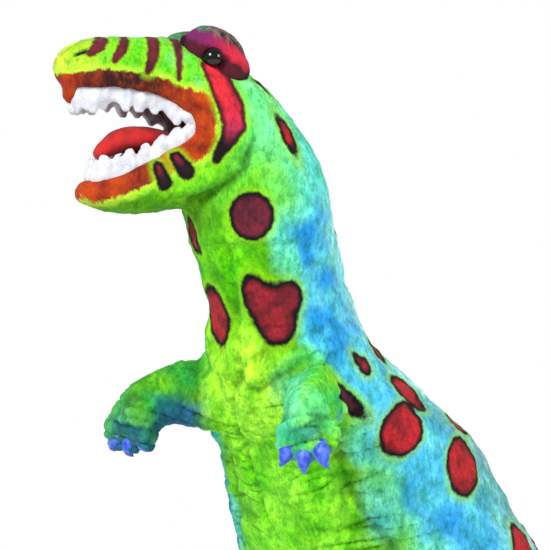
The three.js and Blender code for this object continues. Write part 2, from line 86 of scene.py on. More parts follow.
NECK_AXIS = np.array([0, -0.39, 0.92]) / math.hypot(0.39, 0.92)
TAIL_AXIS = np.array([0, 0.76, -0.65])
TAIL_END_AXIS = np.array([0, 0.84, -0.54])
HEAD_TURN = math.radians(-31)
HEAD_ORIGIN = (25, 901)
LEG_ASIDE = 106
SPLAY = {1: math.radians(28), -1: math.radians(48)}
HINGE = (47, -4)
JAW_RAY = math.radians(-103)
SIDE_NAME = {1: "left", -1: "right"}
UP = np.array([0, 0, 1.0])

# Where each piece of fabric ends along the axis of its joint, and the stretch given for bending it there,
# which nothing uses.
NECK_BEND = (10, 66)
NECK_SPLIT = 71
HEAD_BEND = (76, 140)
ARM_SPLIT = 8
ARM_BEND = (16, 50)
JAW_BEND = (16, 56)
TAIL_SPLIT, TAIL_BEND = -40, (-14, 46)
BEHIND_LEGS = 45  # further back than this, low fabric is the tail's
TOOTH_HEIGHT = 29
TIP_SPLIT, TIP_BEND = -38, (-31, 31)

VOXEL = 4.8  # of the fabric's first mesh, halved by one subdivision
PRESSURE_VOXEL = 10.0  # of the coarse copy that is inflated
PUFF_CAP = 5.0  # the furthest that inflating may move a point


# ---- points, lines and lofts ---------------------------------------------------------------
def unit(v):
    return v / np.maximum(np.linalg.norm(v, axis=-1, keepdims=True), 1e-9)


def smoothstep(low, high, x):
    t = np.clip((x - low) / (high - low), 0, 1)
    return t * t * (3 - 2 * t)


def curve_through(rows, count):
    """Catmull-Rom points through the rows."""
    rows = np.array(rows, float)
    padded = np.vstack([2 * rows[0] - rows[1], rows, 2 * rows[-1] - rows[-2]])
    t = np.linspace(0, len(rows) - 1, count)
    i = np.minimum(t.astype(int), len(rows) - 2)
    s = (t - i)[:, None]
    a, b, c, d = (padded[i + k] for k in range(4))
    cubic = (2 * a - 5 * b + 4 * c - d) * s * s + (3 * b - a - 3 * c + d) * s**3
    return 0.5 * (2 * b + (c - a) * s + cubic)


def ring_faces(rings, sides):
    """Quads between neighbouring rings, and triangles to the two middle points that follow the rings."""
    faces = []
    for i in range(rings - 1):
        for j in range(sides):
            k = (j + 1) % sides
            faces.append((i * sides + j, i * sides + k, (i + 1) * sides + k, (i + 1) * sides + j))
    first, base = rings * sides, (rings - 1) * sides
    for j in range(sides):
        k = (j + 1) % sides
        faces.append((first, k, j))
        faces.append((first + 1, base + j, base + k))
    return faces


def loft(centres, halves, across, level=False, square=2.0, sides=40, caps=(0, 0)):
    """A closed tube through the centres, with rounded ends that reach the caps beyond its end sections."""
    centres, halves = np.array(centres, float), np.array(halves, float)
    ahead = unit(np.gradient(centres, axis=0))
    for end, reach in ((0, caps[0]), (-1, caps[1])):
        if not reach:
            continue
        sign = -1 if end == 0 else 1
        turns = np.radians([30, 55, 75, 88])
        extra = [centres[end] + sign * ahead[end] * reach * math.sin(a) for a in turns]
        small = [halves[end] * math.cos(a) for a in turns]
        if end == 0:
            centres, halves = np.vstack([extra[::-1], centres]), np.vstack([small[::-1], halves])
        else:
            centres, halves = np.vstack([centres, extra]), np.vstack([halves, small])
    ahead = np.tile(UP, (len(centres), 1)) if level else unit(np.gradient(centres, axis=0))
    across = np.broadcast_to(np.array(across, float), centres.shape)
    wide = unit(across - ahead * np.sum(across * ahead, axis=1, keepdims=True))
    high = np.cross(ahead, wide)
    angle = np.linspace(0, 2 * math.pi, sides, endpoint=False)
    c, s = np.cos(angle), np.sin(angle)
    c, s = np.sign(c) * np.abs(c) ** (2 / square), np.sign(s) * np.abs(s) ** (2 / square)
    rings = centres[:, None] + wide[:, None] * (halves[:, :1] * c)[..., None]
    rings = rings + high[:, None] * (halves[:, 1:] * s)[..., None]
    points = np.vstack([rings.reshape(-1, 3), centres[0], centres[-1]])
    return points, ring_faces(len(centres), sides)


def tube(path, radius, count=60):
    """A rounded tube along a path. Radius is one number or one for each point of the path."""
    radii = np.broadcast_to(np.array(radius, float), (len(path),))
    fine = curve_through(np.column_stack([path, radii]), count)
    return loft(fine[:, :3], fine[:, [3, 3]], (0.02, 0.03, 1), sides=20, caps=(fine[0, 3], fine[-1, 3]))


def ellipsoid(centre, axes, sides=28):
    """A ball squashed to three half-axis vectors."""
    turns = np.linspace(-math.pi / 2, math.pi / 2, 18)
    axes = np.array(axes, float)
    centres = np.array([np.array(centre) + axes[2] * math.sin(a) for a in turns])
    angle = np.linspace(0, 2 * math.pi, sides, endpoint=False)
    circle = np.outer(np.cos(angle), axes[0]) + np.outer(np.sin(angle), axes[1])
    rings = [c + math.cos(a) * circle for c, a in zip(centres, turns)][1:-1]
    points = np.vstack([*rings, centres[0], centres[-1]])
    return points, ring_faces(len(rings), sides)


def in_head(ahead, high, aside=0.0):
    """A point of the head's own frame, in the row frame."""
    ahead, high, aside = np.broadcast_arrays(np.array(ahead, float), high, aside)
    back = -HEAD_ORIGIN[0] - ahead
    c, s = math.cos(HEAD_TURN), math.sin(HEAD_TURN)
    x, y = aside * c - back * s, aside * s + back * c + NECK_TOP[1]
    return np.stack([x, y, HEAD_ORIGIN[1] + high], axis=-1)


def to_head(points):
    """Ahead, up and aside of points, in the head's own frame."""
    c, s = math.cos(HEAD_TURN), math.sin(HEAD_TURN)
    x, y = points[:, 0], points[:, 1] - NECK_TOP[1]
    aside, back = x * c + y * s, -x * s + y * c
    return np.column_stack([-HEAD_ORIGIN[0] - back, points[:, 2] - HEAD_ORIGIN[1], aside])


HEAD_ACROSS = in_head(0, 0, 1) - in_head(0, 0, 0)
HEAD_AHEAD = in_head(1, 0, 0) - in_head(0, 0, 0)


def arm_frame(side):
    splay = SPLAY[side]
    ahead = np.array([side * math.sin(splay), -math.cos(splay), 0])
    across = np.array([math.cos(splay), side * math.sin(splay), 0])
    return SHOULDER * [side, 1, 1], ahead, across


def on_arm(side, along, up, aside=0.0):
    shoulder, ahead, across = arm_frame(side)
    return shoulder + ahead * along + UP * up + across * aside * side


HAND_TWIST = {1: math.radians(8), -1: math.radians(52)}  # how far the row of fingers is turned
FINGERS = [(-18, 3), (0, -2), (18, 2)]  # aside, and how much further each one reaches up


def finger(side, number, along, up, spread):
    """A point of one finger, whose row is turned about the vertical through the hand."""
    aside, rise = FINGERS[number]
    t = HAND_TWIST[side]
    beside = aside * spread
    return on_arm(side, along + beside * math.sin(t), up + rise * spread, beside * math.cos(t))


def near_line(points, line):
    """How far each point is from a line, and how far along it, from 0 to 1, its nearest place is."""
    line = np.array(line, float)
    best, along = np.full(len(points), 1e9), np.zeros(len(points))
    for i, (a, b) in enumerate(zip(line[:-1], line[1:])):
        d = b - a
        t = np.clip(((points - a) @ d) / (d @ d), 0, 1)
        gap = np.linalg.norm(points - a - t[:, None] * d, axis=1)
        closer = gap < best
        best[closer] = gap[closer]
        along[closer] = (i + t[closer]) / (len(line) - 1)
    return best, along


def wavy(points, size, seed=0.0):
    """Smooth noise from about -1 to 1, with bumps of that size in millimetres."""
    offset = Vector((seed * 7.3, seed * 3.1, seed * 5.7))
    return np.array([noise.noise(Vector(p) + offset) for p in (points / size).tolist()]) * 1.6


# ---- meshes ----------------------------------------------------------------------------------
def mesh_object(name, solids):
    """One object from (points, faces) solids in millimetres."""
    points, faces, start = [], [], 0
    for p, f in solids:
        points.append(p)
        faces.extend([tuple(i + start for i in face) for face in f])
        start += len(p)
    mesh = bpy.data.meshes.new(name)
    mesh.from_pydata((np.vstack(points) / 1000).tolist(), [], faces)
    mesh.update()
    made = bpy.data.objects.new(name, mesh)
    bpy.context.scene.collection.objects.link(made)
    return made


def apply_modifiers(obj):
    depsgraph = bpy.context.evaluated_depsgraph_get()
    mesh = bpy.data.meshes.new_from_object(obj.evaluated_get(depsgraph))
    old = obj.data
    obj.modifiers.clear()
    obj.data = mesh
    bpy.data.meshes.remove(old)


def remesh(obj, voxel):
    modifier = obj.modifiers.new("remesh", "REMESH")
    modifier.mode = "VOXEL"
    modifier.voxel_size = voxel / 1000
    apply_modifiers(obj)


def subdivide(obj, levels=1):
    obj.modifiers.new("subdivide", "SUBSURF").levels = levels
    apply_modifiers(obj)


def coords(obj):
    flat = np.zeros(len(obj.data.vertices) * 3)
    obj.data.vertices.foreach_get("co", flat)
    return flat.reshape(-1, 3) * 1000


def set_coords(obj, points):
    obj.data.vertices.foreach_set("co", (points / 1000).ravel())
    obj.data.update()


def normals(obj):
    flat = np.zeros(len(obj.data.vertices) * 3, np.float32)
    obj.data.vertex_normals.foreach_get("vector", flat)
    return flat.reshape(-1, 3).astype(float)


def edges_of(obj):
    flat = np.zeros(len(obj.data.edges) * 2, np.int32)
    obj.data.edges.foreach_get("vertices", flat)
    return flat.reshape(-1, 2)


def neighbour_mean(values, edges, count):
    totals = np.zeros_like(values)
    for k in range(values.shape[1]):
        totals[:, k] = np.bincount(edges[:, 0], values[edges[:, 1], k], count)
        totals[:, k] += np.bincount(edges[:, 1], values[edges[:, 0], k], count)
    degree = np.bincount(edges.ravel(), minlength=count)
    return totals / np.maximum(degree, 1)[:, None]


def soften(points, edges, rounds, amount=1.0):
    """Smooths a surface while it keeps its volume."""
    amount = np.broadcast_to(np.array(amount, float), (len(points),))[:, None]
    for _ in range(rounds):
        for pull in (0.5, -0.52):
            points = points + pull * amount * (neighbour_mean(points, edges, len(points)) - points)
    return points


# ---- the fabric's first shape ------------------------------------------------------------------
def level_loft(rows, aside=0.0, caps=(0, 0), count=60):
    fine = curve_through(rows, count)
    centres = np.column_stack([np.full(count, aside), fine[:, 1], fine[:, 0]])
    return loft(centres, fine[:, 2:], (1, 0, 0), level=True, sides=64, caps=caps)


def back_loft(rows, aside=0.0, caps=(0, 0), square=2.0, count=60):
    fine = curve_through(rows, count)
    centres = np.column_stack([np.full(count, aside), fine[:, 0], fine[:, 1]])
    return loft(centres, fine[:, 2:], (1, 0, 0), square=square, sides=48, caps=caps)


def head_loft(rows, square=2.3, caps=(0, 0), count=60):
    fine = curve_through(rows, count)
    centres = in_head(fine[:, 0], fine[:, 1])
    return loft(centres, fine[:, 2:], HEAD_ACROSS, square=square, sides=56, caps=caps)


def table_at(rows, x, column):
    rows = np.array(rows, float)
    return np.interp(x, rows[:, 0], rows[:, column])


UPPER_EDGE = [[46, -2], [56, 4], [70, 11], [88, 18], [105, 24], [125, 27], [150, 28], [190, 28]]
LOWER_EDGE = [[46, -6], [56, -15], [66, -24], [85, -35], [108, -47], [130, -57], [150, -64], [170, -64]]


def lip_line(edge, jaw, front, turn, inward, count=41):
    """The U of a lip from its right corner to its left: ahead, up and aside, on the lip's edge."""
    share = np.linspace(-1, 1, count)
    straight = np.abs(share) > 0.4
    ahead, aside = np.zeros(count), np.zeros(count)
    back = 50 + 0.35 * inward
    ahead[straight] = back + (turn - back) * (1 - np.abs(share[straight])) / 0.6
    aside[straight] = table_at(jaw, ahead[straight], 2) - inward - 3
    angle = share[~straight] / 0.4 * math.pi / 2
    corner = table_at(jaw, turn, 2) - inward - 3
    ahead[~straight] = turn + (front - inward - turn) * np.cos(angle)
    aside[~straight] = corner * np.abs(np.sin(angle))
    return np.column_stack([ahead, table_at(edge, ahead, 1), aside * np.sign(share)])


UPPER_LIP = lip_line(UPPER_EDGE, SKULL, 182, 150, 4)
LOWER_LIP = lip_line(LOWER_EDGE, JAW, 164, 132, 4)


def lip_tube(line, rise, radius):
    path = in_head(line[:, 0], line[:, 1] + rise, line[:, 2])
    return tube(path, radius, 90)


def first_shape():
    solids = [level_loft(TORSO, caps=(10, 0)), back_loft(TAIL, caps=(0, 14))]
    for side in (1, -1):
        fine = curve_through(ARM, 30)
        _, _, across = arm_frame(side)
        centres = np.array([on_arm(side, a, u) for a, u in fine[:, :2]])
        solids.append(loft(centres, fine[:, 2:], across, caps=(0, 10)))
        for number in range(3):
            path = [finger(side, number, 50, -12, 0.5), finger(side, number, 66, -28, 0.85)]
            path += [finger(side, number, 71, -44, 1.0), finger(side, number, 70, -53, 1.0)]
            solids.append(tube(path, [13, 15, 14.5, 12.5], 20))
        x = side * LEG_ASIDE
        solids.append(level_loft(LEG, x, caps=(30, 8)))
        solids.append(back_loft(FOOT, x, caps=(16, 14), square=2.6))
        for spread in (-35, 0, 35):
            back = -150 + abs(spread) * 0.35
            solids.append(ellipsoid((x + spread, back, 23), [(20.5, 0, 0), (0, 0, 25), (0, 42, 0)]))
    solids.append(head_loft(SKULL, caps=(0, 5)))
    solids.append(head_loft(JAW, caps=(0, 7)))
    solids.append(lip_tube(UPPER_LIP, 7.0, 7.5))
    solids.append(lip_tube(LOWER_LIP, -6.5, 7.0))
    hook = [HEAD_ACROSS * 13, HEAD_AHEAD * 6.5, UP * 12]
    solids.append(ellipsoid(in_head(177, 25), hook))
    for side in (1, -1):
        cheek = [HEAD_ACROSS * 12, HEAD_AHEAD * 20, UP * 24]
        solids.append(ellipsoid(in_head(36, -6, side * 48), cheek))
        nostril = [HEAD_ACROSS * 11, HEAD_AHEAD * 17, UP * 9]
        solids.append(ellipsoid(in_head(166, 66, side * 19), nostril))
    return solids


def hollow_mouth(points):
    """Pushes the fabric behind the lips in, so that the mouth is hollow and its roof and floor are lined."""
    head = to_head(points)
    f, u, l = head[:, 0], head[:, 1], head[:, 2]
    moved = head.copy()
    for edge, jaw, front, sign, depth in ((UPPER_EDGE, SKULL, 184, 1, 15), (LOWER_EDGE, JAW, 160, -1, 8)):
        inner = table_at(jaw, f, 2) - 15
        tip = 1 - smoothstep(front - 34, front - 10, f)
        room = inner * np.sqrt(np.clip(tip, 0.0, 1))
        inside = smoothstep(0, 9, room - np.abs(l)) * smoothstep(44, 58, f)
        level = table_at(edge, f, 1) - u
        near = 1 - smoothstep(10, 22, np.abs(level))
        moved[:, 1] += sign * depth * inside * near
    back = np.exp(-(((f - 54) / 12) ** 2) - ((u + 6) / 17) ** 2) * (1 - smoothstep(26, 42, np.abs(l)))
    moved[:, 0] -= 16 * back
    moved = in_head(moved[:, 0], moved[:, 1], moved[:, 2])
    touched = (f > 35) & (u > -75)
    points[touched] = moved[touched]
    return points


def inflate(obj):
    """Blows a coarse copy up as cloth, and returns how far each point of obj moves with it."""
    copy = bpy.data.objects.new("inflating", obj.data.copy())
    bpy.context.scene.collection.objects.link(copy)
    remesh(copy, PRESSURE_VOXEL)
    start = coords(copy)
    cloth = copy.modifiers.new("cloth", "CLOTH")
    settings = cloth.settings
    settings.quality = 5
    settings.mass = 0.3
    settings.use_pressure = True
    settings.uniform_pressure_force = 4
    settings.tension_stiffness = 12
    settings.compression_stiffness = 12
    settings.shear_stiffness = 4
    settings.bending_stiffness = 0.4
    settings.shrink_min = -0.04
    settings.effector_weights.gravity = 0
    cloth.collision_settings.use_collision = False
    cloth.point_cache.frame_start, cloth.point_cache.frame_end = 1, 20
    scene = bpy.context.scene
    for number in range(1, 21):
        scene.frame_set(number)
    depsgraph = bpy.context.evaluated_depsgraph_get()
    blown = copy.evaluated_get(depsgraph)
    flat = np.zeros(len(start) * 3)
    blown.data.vertices.foreach_get("co", flat)
    move = flat.reshape(-1, 3) * 1000 - start
    scene.frame_set(1)
    edges = edges_of(copy)
    broad = move.copy()
    for _ in range(12):
        broad = neighbour_mean(broad, edges, len(broad))
    move = (move - broad) * 1.3 + broad * 0.1
    size = np.linalg.norm(move, axis=1, keepdims=True)
    move *= np.minimum(1, PUFF_CAP / np.maximum(size, 1e-6))
    tree = KDTree(len(start))
    for i, p in enumerate(start):
        tree.insert(p, i)
    tree.balance()
    target = coords(obj)
    carried = np.zeros_like(target)
    for i, p in enumerate(target):
        found = tree.find_n(p, 4)
        weights = np.array([1 / (d + 1.0) ** 2 for _, _, d in found])
        carried[i] = weights @ move[[k for _, k, _ in found]] / weights.sum()
    bpy.data.objects.remove(copy)
    return carried


# ---- where a point lies ------------------------------------------------------------------------
def row_at(rows, x):
    """A table's other three columns, at values of its first."""
    rows = np.array(sorted(rows), float)
    return [np.interp(x, rows[:, 0], rows[:, k]) for k in (1, 2, 3)]


def on_ellipse(degrees, wide, deep):
    """Aside and ahead, for a point of an ellipse at a bearing from straight ahead."""
    s, c = math.sin(math.radians(degrees)), math.cos(math.radians(degrees))
    reach = 1 / math.hypot(s / wide, c / deep)
    return s * reach, c * reach


def bearing(points):
    """Degrees from straight ahead towards the left, about the torso's centre line."""
    back, _, _ = row_at(TORSO, points[:, 2])
    return np.degrees(np.arctan2(points[:, 0], back - points[:, 1]))


def on_torso(degrees, z):
    back, wide, deep = row_at(TORSO, z)
    aside, ahead = on_ellipse(degrees, wide, deep)
    return np.array([aside, back - ahead, z])


def on_tail(degrees, y):
    """Degrees from the top towards the left."""
    z, wide, high = row_at(TAIL, y)
    aside, above = on_ellipse(degrees, wide, high)
    return np.array([aside, y + above * 0.5, z + above])


def outside_tail(points):
    """Roughly how far outside the tail's own outline each point lies."""
    z, wide, high = row_at(TAIL, points[:, 1])
    high = high / TAIL_AXIS[1]
    return (np.hypot(points[:, 0] / wide, (points[:, 2] - z) / high) - 1) * np.minimum(wide, high)


def on_leg(side, degrees, z):
    """Degrees from straight ahead towards the outside."""
    back, wide, deep = row_at(LEG, z)
    aside, ahead = on_ellipse(degrees, wide, deep)
    return np.array([side * (LEG_ASIDE + aside), back - ahead, z])


def leg_share(points, side):
    """Below 0 inside a leg's outline rather than the torso's."""
    back, wide, deep = row_at(LEG, points[:, 2])
    in_leg = np.hypot((points[:, 0] - side * LEG_ASIDE) / wide, (points[:, 1] - back) / deep)
    back, wide, deep = row_at(TORSO, np.maximum(points[:, 2], TORSO[0][0]))
    in_torso = np.hypot(points[:, 0] / wide, (points[:, 1] - back) / deep)
    in_torso = in_torso + np.clip(TORSO[0][0] - points[:, 2], 0, None) / 60
    return in_leg - in_torso


def belly_angle(points):
    away = points - np.array([0, -60, 420.0])
    ahead = away[:, 1] * -0.87 + away[:, 2] * -0.5
    return np.degrees(np.arctan2(np.abs(points[:, 0]), ahead))


def side_seam(z):
    return np.interp(z, [250, 400, 462, 497, 525, 563, 680], [52, 48, 43.5, 37.5, 34.5, 35.8, 38])


class Place:
    """Where every point of the fabric lies, worked out once at rest."""

    def __init__(self, points):
        self.points = points
        self.neck = (points - NECK_BASE) @ NECK_AXIS
        self.tail = (points - TAIL_ROOT) @ TAIL_AXIS
        self.tip = (points - TAIL_MIDDLE) @ TAIL_END_AXIS
        self.head = to_head(points)
        f, u = self.head[:, 0] - HINGE[0], self.head[:, 1] - HINGE[1]
        self.jaw = f * -math.sin(JAW_RAY) + u * math.cos(JAW_RAY)
        self.jaw_angle = np.degrees(np.arctan2(u, f))
        self.bearing = bearing(points)
        self.arm, self.beside_arm = {}, {}
        for side in (1, -1):
            shoulder, ahead, across = arm_frame(side)
            away = points - shoulder
            along = away @ ahead
            beside = np.hypot(away @ across, away[:, 2])
            self.beside_arm[side] = beside
            near = (beside < 130) & (points[:, 2] > 500) & (points[:, 2] < 690)
            self.arm[side] = np.where(near, along, -99)
        self.leg = {side: leg_share(points, side) for side in (1, -1)}

    def region(self):
        """The number of the piece of fabric that each point belongs to."""
        p, f, u = self.points, self.head[:, 0], self.head[:, 1]
        number = np.zeros(len(p), int)
        z = p[:, 2]
        front = (belly_angle(p) < side_seam(z)) & (z < 628 + 0.56 * np.abs(p[:, 0])) & (z > 262)
        number[front] = REGIONS.index("belly_panel_fabric")
        for side in (1, -1):
            name = SIDE_NAME[side]
            leg = (self.leg[side] < 0) & (z < 408) & (p[:, 0] * side > 0)
            number[leg] = REGIONS.index(f"{name}_leg_fabric")
        tail = (self.tail > TAIL_SPLIT) & (p[:, 1] > 0) & (z < 420) & (self.tip <= TIP_SPLIT)
        tail &= (outside_tail(p) < 12) | (p[:, 1] > BEHIND_LEGS)
        number[tail] = REGIONS.index("tail_fabric")
        number[(self.tip > TIP_SPLIT) & (p[:, 1] > 150)] = REGIONS.index("tail_end_fabric")
        number[(self.neck > NECK_SPLIT) & (z > 690)] = REGIONS.index("neck_and_head_fabric")
        under = (self.jaw > 0) & (self.jaw_angle < -3) & (self.jaw_angle > -115)
        under &= (u > -100 + (45 - f) * 0.5) & (z > 780)
        number[under] = REGIONS.index("jaw_fabric")
        for side in (1, -1):
            number[self.arm[side] > ARM_SPLIT] = REGIONS.index(f"{SIDE_NAME[side]}_arm_fabric")
        f, u, l = self.head.T
        inner = table_at(SKULL, f, 2) - 13
        roof = (f > 52) & (f < 172) & (np.abs(l) < inner) & (z > 880) & (u < table_at(UPPER_EDGE, f, 1) + 24)
        roof &= (u > -3) & self.inwards
        number[roof & (number == REGIONS.index("neck_and_head_fabric"))] = REGIONS.index("palate_lining")
        inner = table_at(JAW, f, 2) - 13
        floor = (f > 54) & (f < 150) & (np.abs(l) < inner) & self.inwards
        number[floor & (number == REGIONS.index("jaw_fabric"))] = REGIONS.index("mouth_floor_lining")
        return number


# ---- seams, folds and pile ------------------------------------------------------------------------
CENTRE_SEAM = [  # aside, height
    [12, 790], [10, 750], [5, 717], [2, 666], [0, 635], [-22, 607], [-34, 577], [-36, 545],
    [-32, 500], [-18, 450], [-4, 400], [0, 330], [0, 262],
]
NECK_FOLD = [[18, 638], [46, 656], [76, 668], [96, 674]]
THROAT_FOLD = [[4, -22], [13, -44], [26, -64], [45, -79], [70, -89]]  # ahead, up
NOSTRIL = [[180, 61.5], [168, 66]]


def dip(distance, width):
    return np.exp(-((distance / width) ** 2))


def furrow(gap, depth, width, ridge, ridge_gap, ridge_width, pucker=1.0):
    """How deep a seam or fold is at a gap from its line, less the ridge that it pushes up beside it."""
    return depth * dip(gap, width) * pucker - ridge * dip(gap - ridge_gap, ridge_width)


def sew(where, outward):
    """How far each point stands out for the seams, folds and wrinkles."""
    p, z = where.points, where.points[:, 2]
    f, u, l = where.head.T
    front = dip(np.clip(np.abs(where.bearing) - 50, 0, None), 15)
    lift = np.zeros(len(p))
    body = 1 - smoothstep(120, 150, where.neck)
    gap, _ = near_line(p[:, [0, 2]], CENTRE_SEAM)
    pucker = 1 + 0.5 * wavy(p * [0.2, 0.2, 1], 9, 1)
    lift -= furrow(gap, 4.8, 4.2, 1.8, 11, 6, pucker) * front * body * (z > 262)
    seam_gap = (belly_angle(p) - side_seam(z)) * 2.0
    on_belly = smoothstep(640, 600, z) * smoothstep(255, 290, z) * (where.bearing ** 2 < 10000)
    lift -= furrow(seam_gap, 5.0, 5.0, 2.0, 13, 7, pucker) * on_belly
    creases = wavy(np.column_stack([p[:, 0] * 0.18, p[:, 1] * 0.18, z - 0.30 * np.abs(p[:, 0])]), 12, 2)
    crease = np.clip(np.abs(creases) * 2.2, 0, 1)
    off_panel = np.clip(-seam_gap - 20, 0, None) + np.clip(seam_gap, 0, None)
    lift -= 5.2 * (1 - crease) ** 2 * dip(off_panel, 40) * on_belly
    rumple = wavy(p * [0.5, 0.5, 1], 26, 3)
    lift += 2.4 * rumple * (1 - 0.7 * smoothstep(100, 160, where.neck)) * smoothstep(60, 200, z)
    for side, depth in ((1, 1.0), (-1, 0.45)):
        fold = np.array(NECK_FOLD) * [side, 1]
        gap, _ = near_line(p[:, [0, 2]], fold)
        line = np.interp(p[:, 0] * side, [r[0] for r in NECK_FOLD], [r[1] for r in NECK_FOLD])
        gap = gap * np.sign(z - line)
        near = front * (where.arm[side] < 20) * depth
        lift += near * (5.5 * dip(gap, 8.5) - 5.5 * dip(gap + 14, 5) - 5.0 * dip(gap - 14, 5))
    gap, share = near_line(np.column_stack([f, u]), THROAT_FOLD)
    cheek = smoothstep(15, 35, np.abs(l)) * (z > 790)
    lift -= furrow(gap, 6.5, 5.5, 3.0, 14, 8) * cheek * (1 - smoothstep(0.85, 1.0, share))
    for side in (1, -1):
        lift -= 3.0 * dip(where.leg[side] * 110, 5) * (z < 400) * (p[:, 0] * side > 0) * (z > 70)
        arm = where.arm[side]
        lift -= 2.6 * dip(arm - ARM_SPLIT + 3, 4) * (arm > -60)
    behind = (outward[:, 1] > -0.1) | ((z > 850) & (outward[:, 2] > 0.2))
    middle = np.where(z > 830, l, p[:, 0])
    facing = smoothstep(0.2, 0.6, np.maximum(outward[:, 1], outward[:, 2]))
    lift -= 2.0 * dip(middle, 2.8) * behind * (z > 30) * facing
    nostril, _ = near_line(np.column_stack([f, u]), NOSTRIL)
    lift -= 3.5 * dip(nostril, 2.2) * (np.abs(l) > 10) * (f > 150)
    lift += 0.8 * wavy(p, 11, 4) + 0.5 * wavy(p, 5.5, 5)
    lift -= 5.0 * smoothstep(455, 500, z) * smoothstep(660, 600, z) * smoothstep(60, 105, where.bearing)
    return lift


# ---- colours --------------------------------------------------------------------------------------
def linear(*rgb):
    c = np.array(rgb, float) / 255
    return np.where(c <= 0.04045, c / 12.92, ((c + 0.055) / 1.055) ** 2.4)


LIME, GREEN, LEAF = linear(132, 240, 12), linear(84, 205, 8), linear(70, 168, 10)
MINT, CYAN, SKY = linear(120, 246, 160), linear(96, 228, 228), linear(80, 200, 244)
BLUE, PALE_HIGHLIGHT, YELLOW = linear(38, 158, 238), linear(176, 240, 246), linear(206, 250, 66)
JADE, TEAL, ARM_BLUE = linear(64, 214, 84), linear(26, 128, 140), linear(34, 118, 200)
MAROON, RED, NIGHT = linear(92, 35, 52), linear(192, 38, 42), linear(26, 18, 24)
ORANGE, RUST, LIP_DARK = linear(192, 66, 20), linear(140, 38, 20), linear(58, 24, 26)


def mixed(a, b, t):
    """Colours from a to b, which are one colour or one for each point, at shares t."""
    return a + (b - a) * np.clip(t, 0, 1)[:, None]


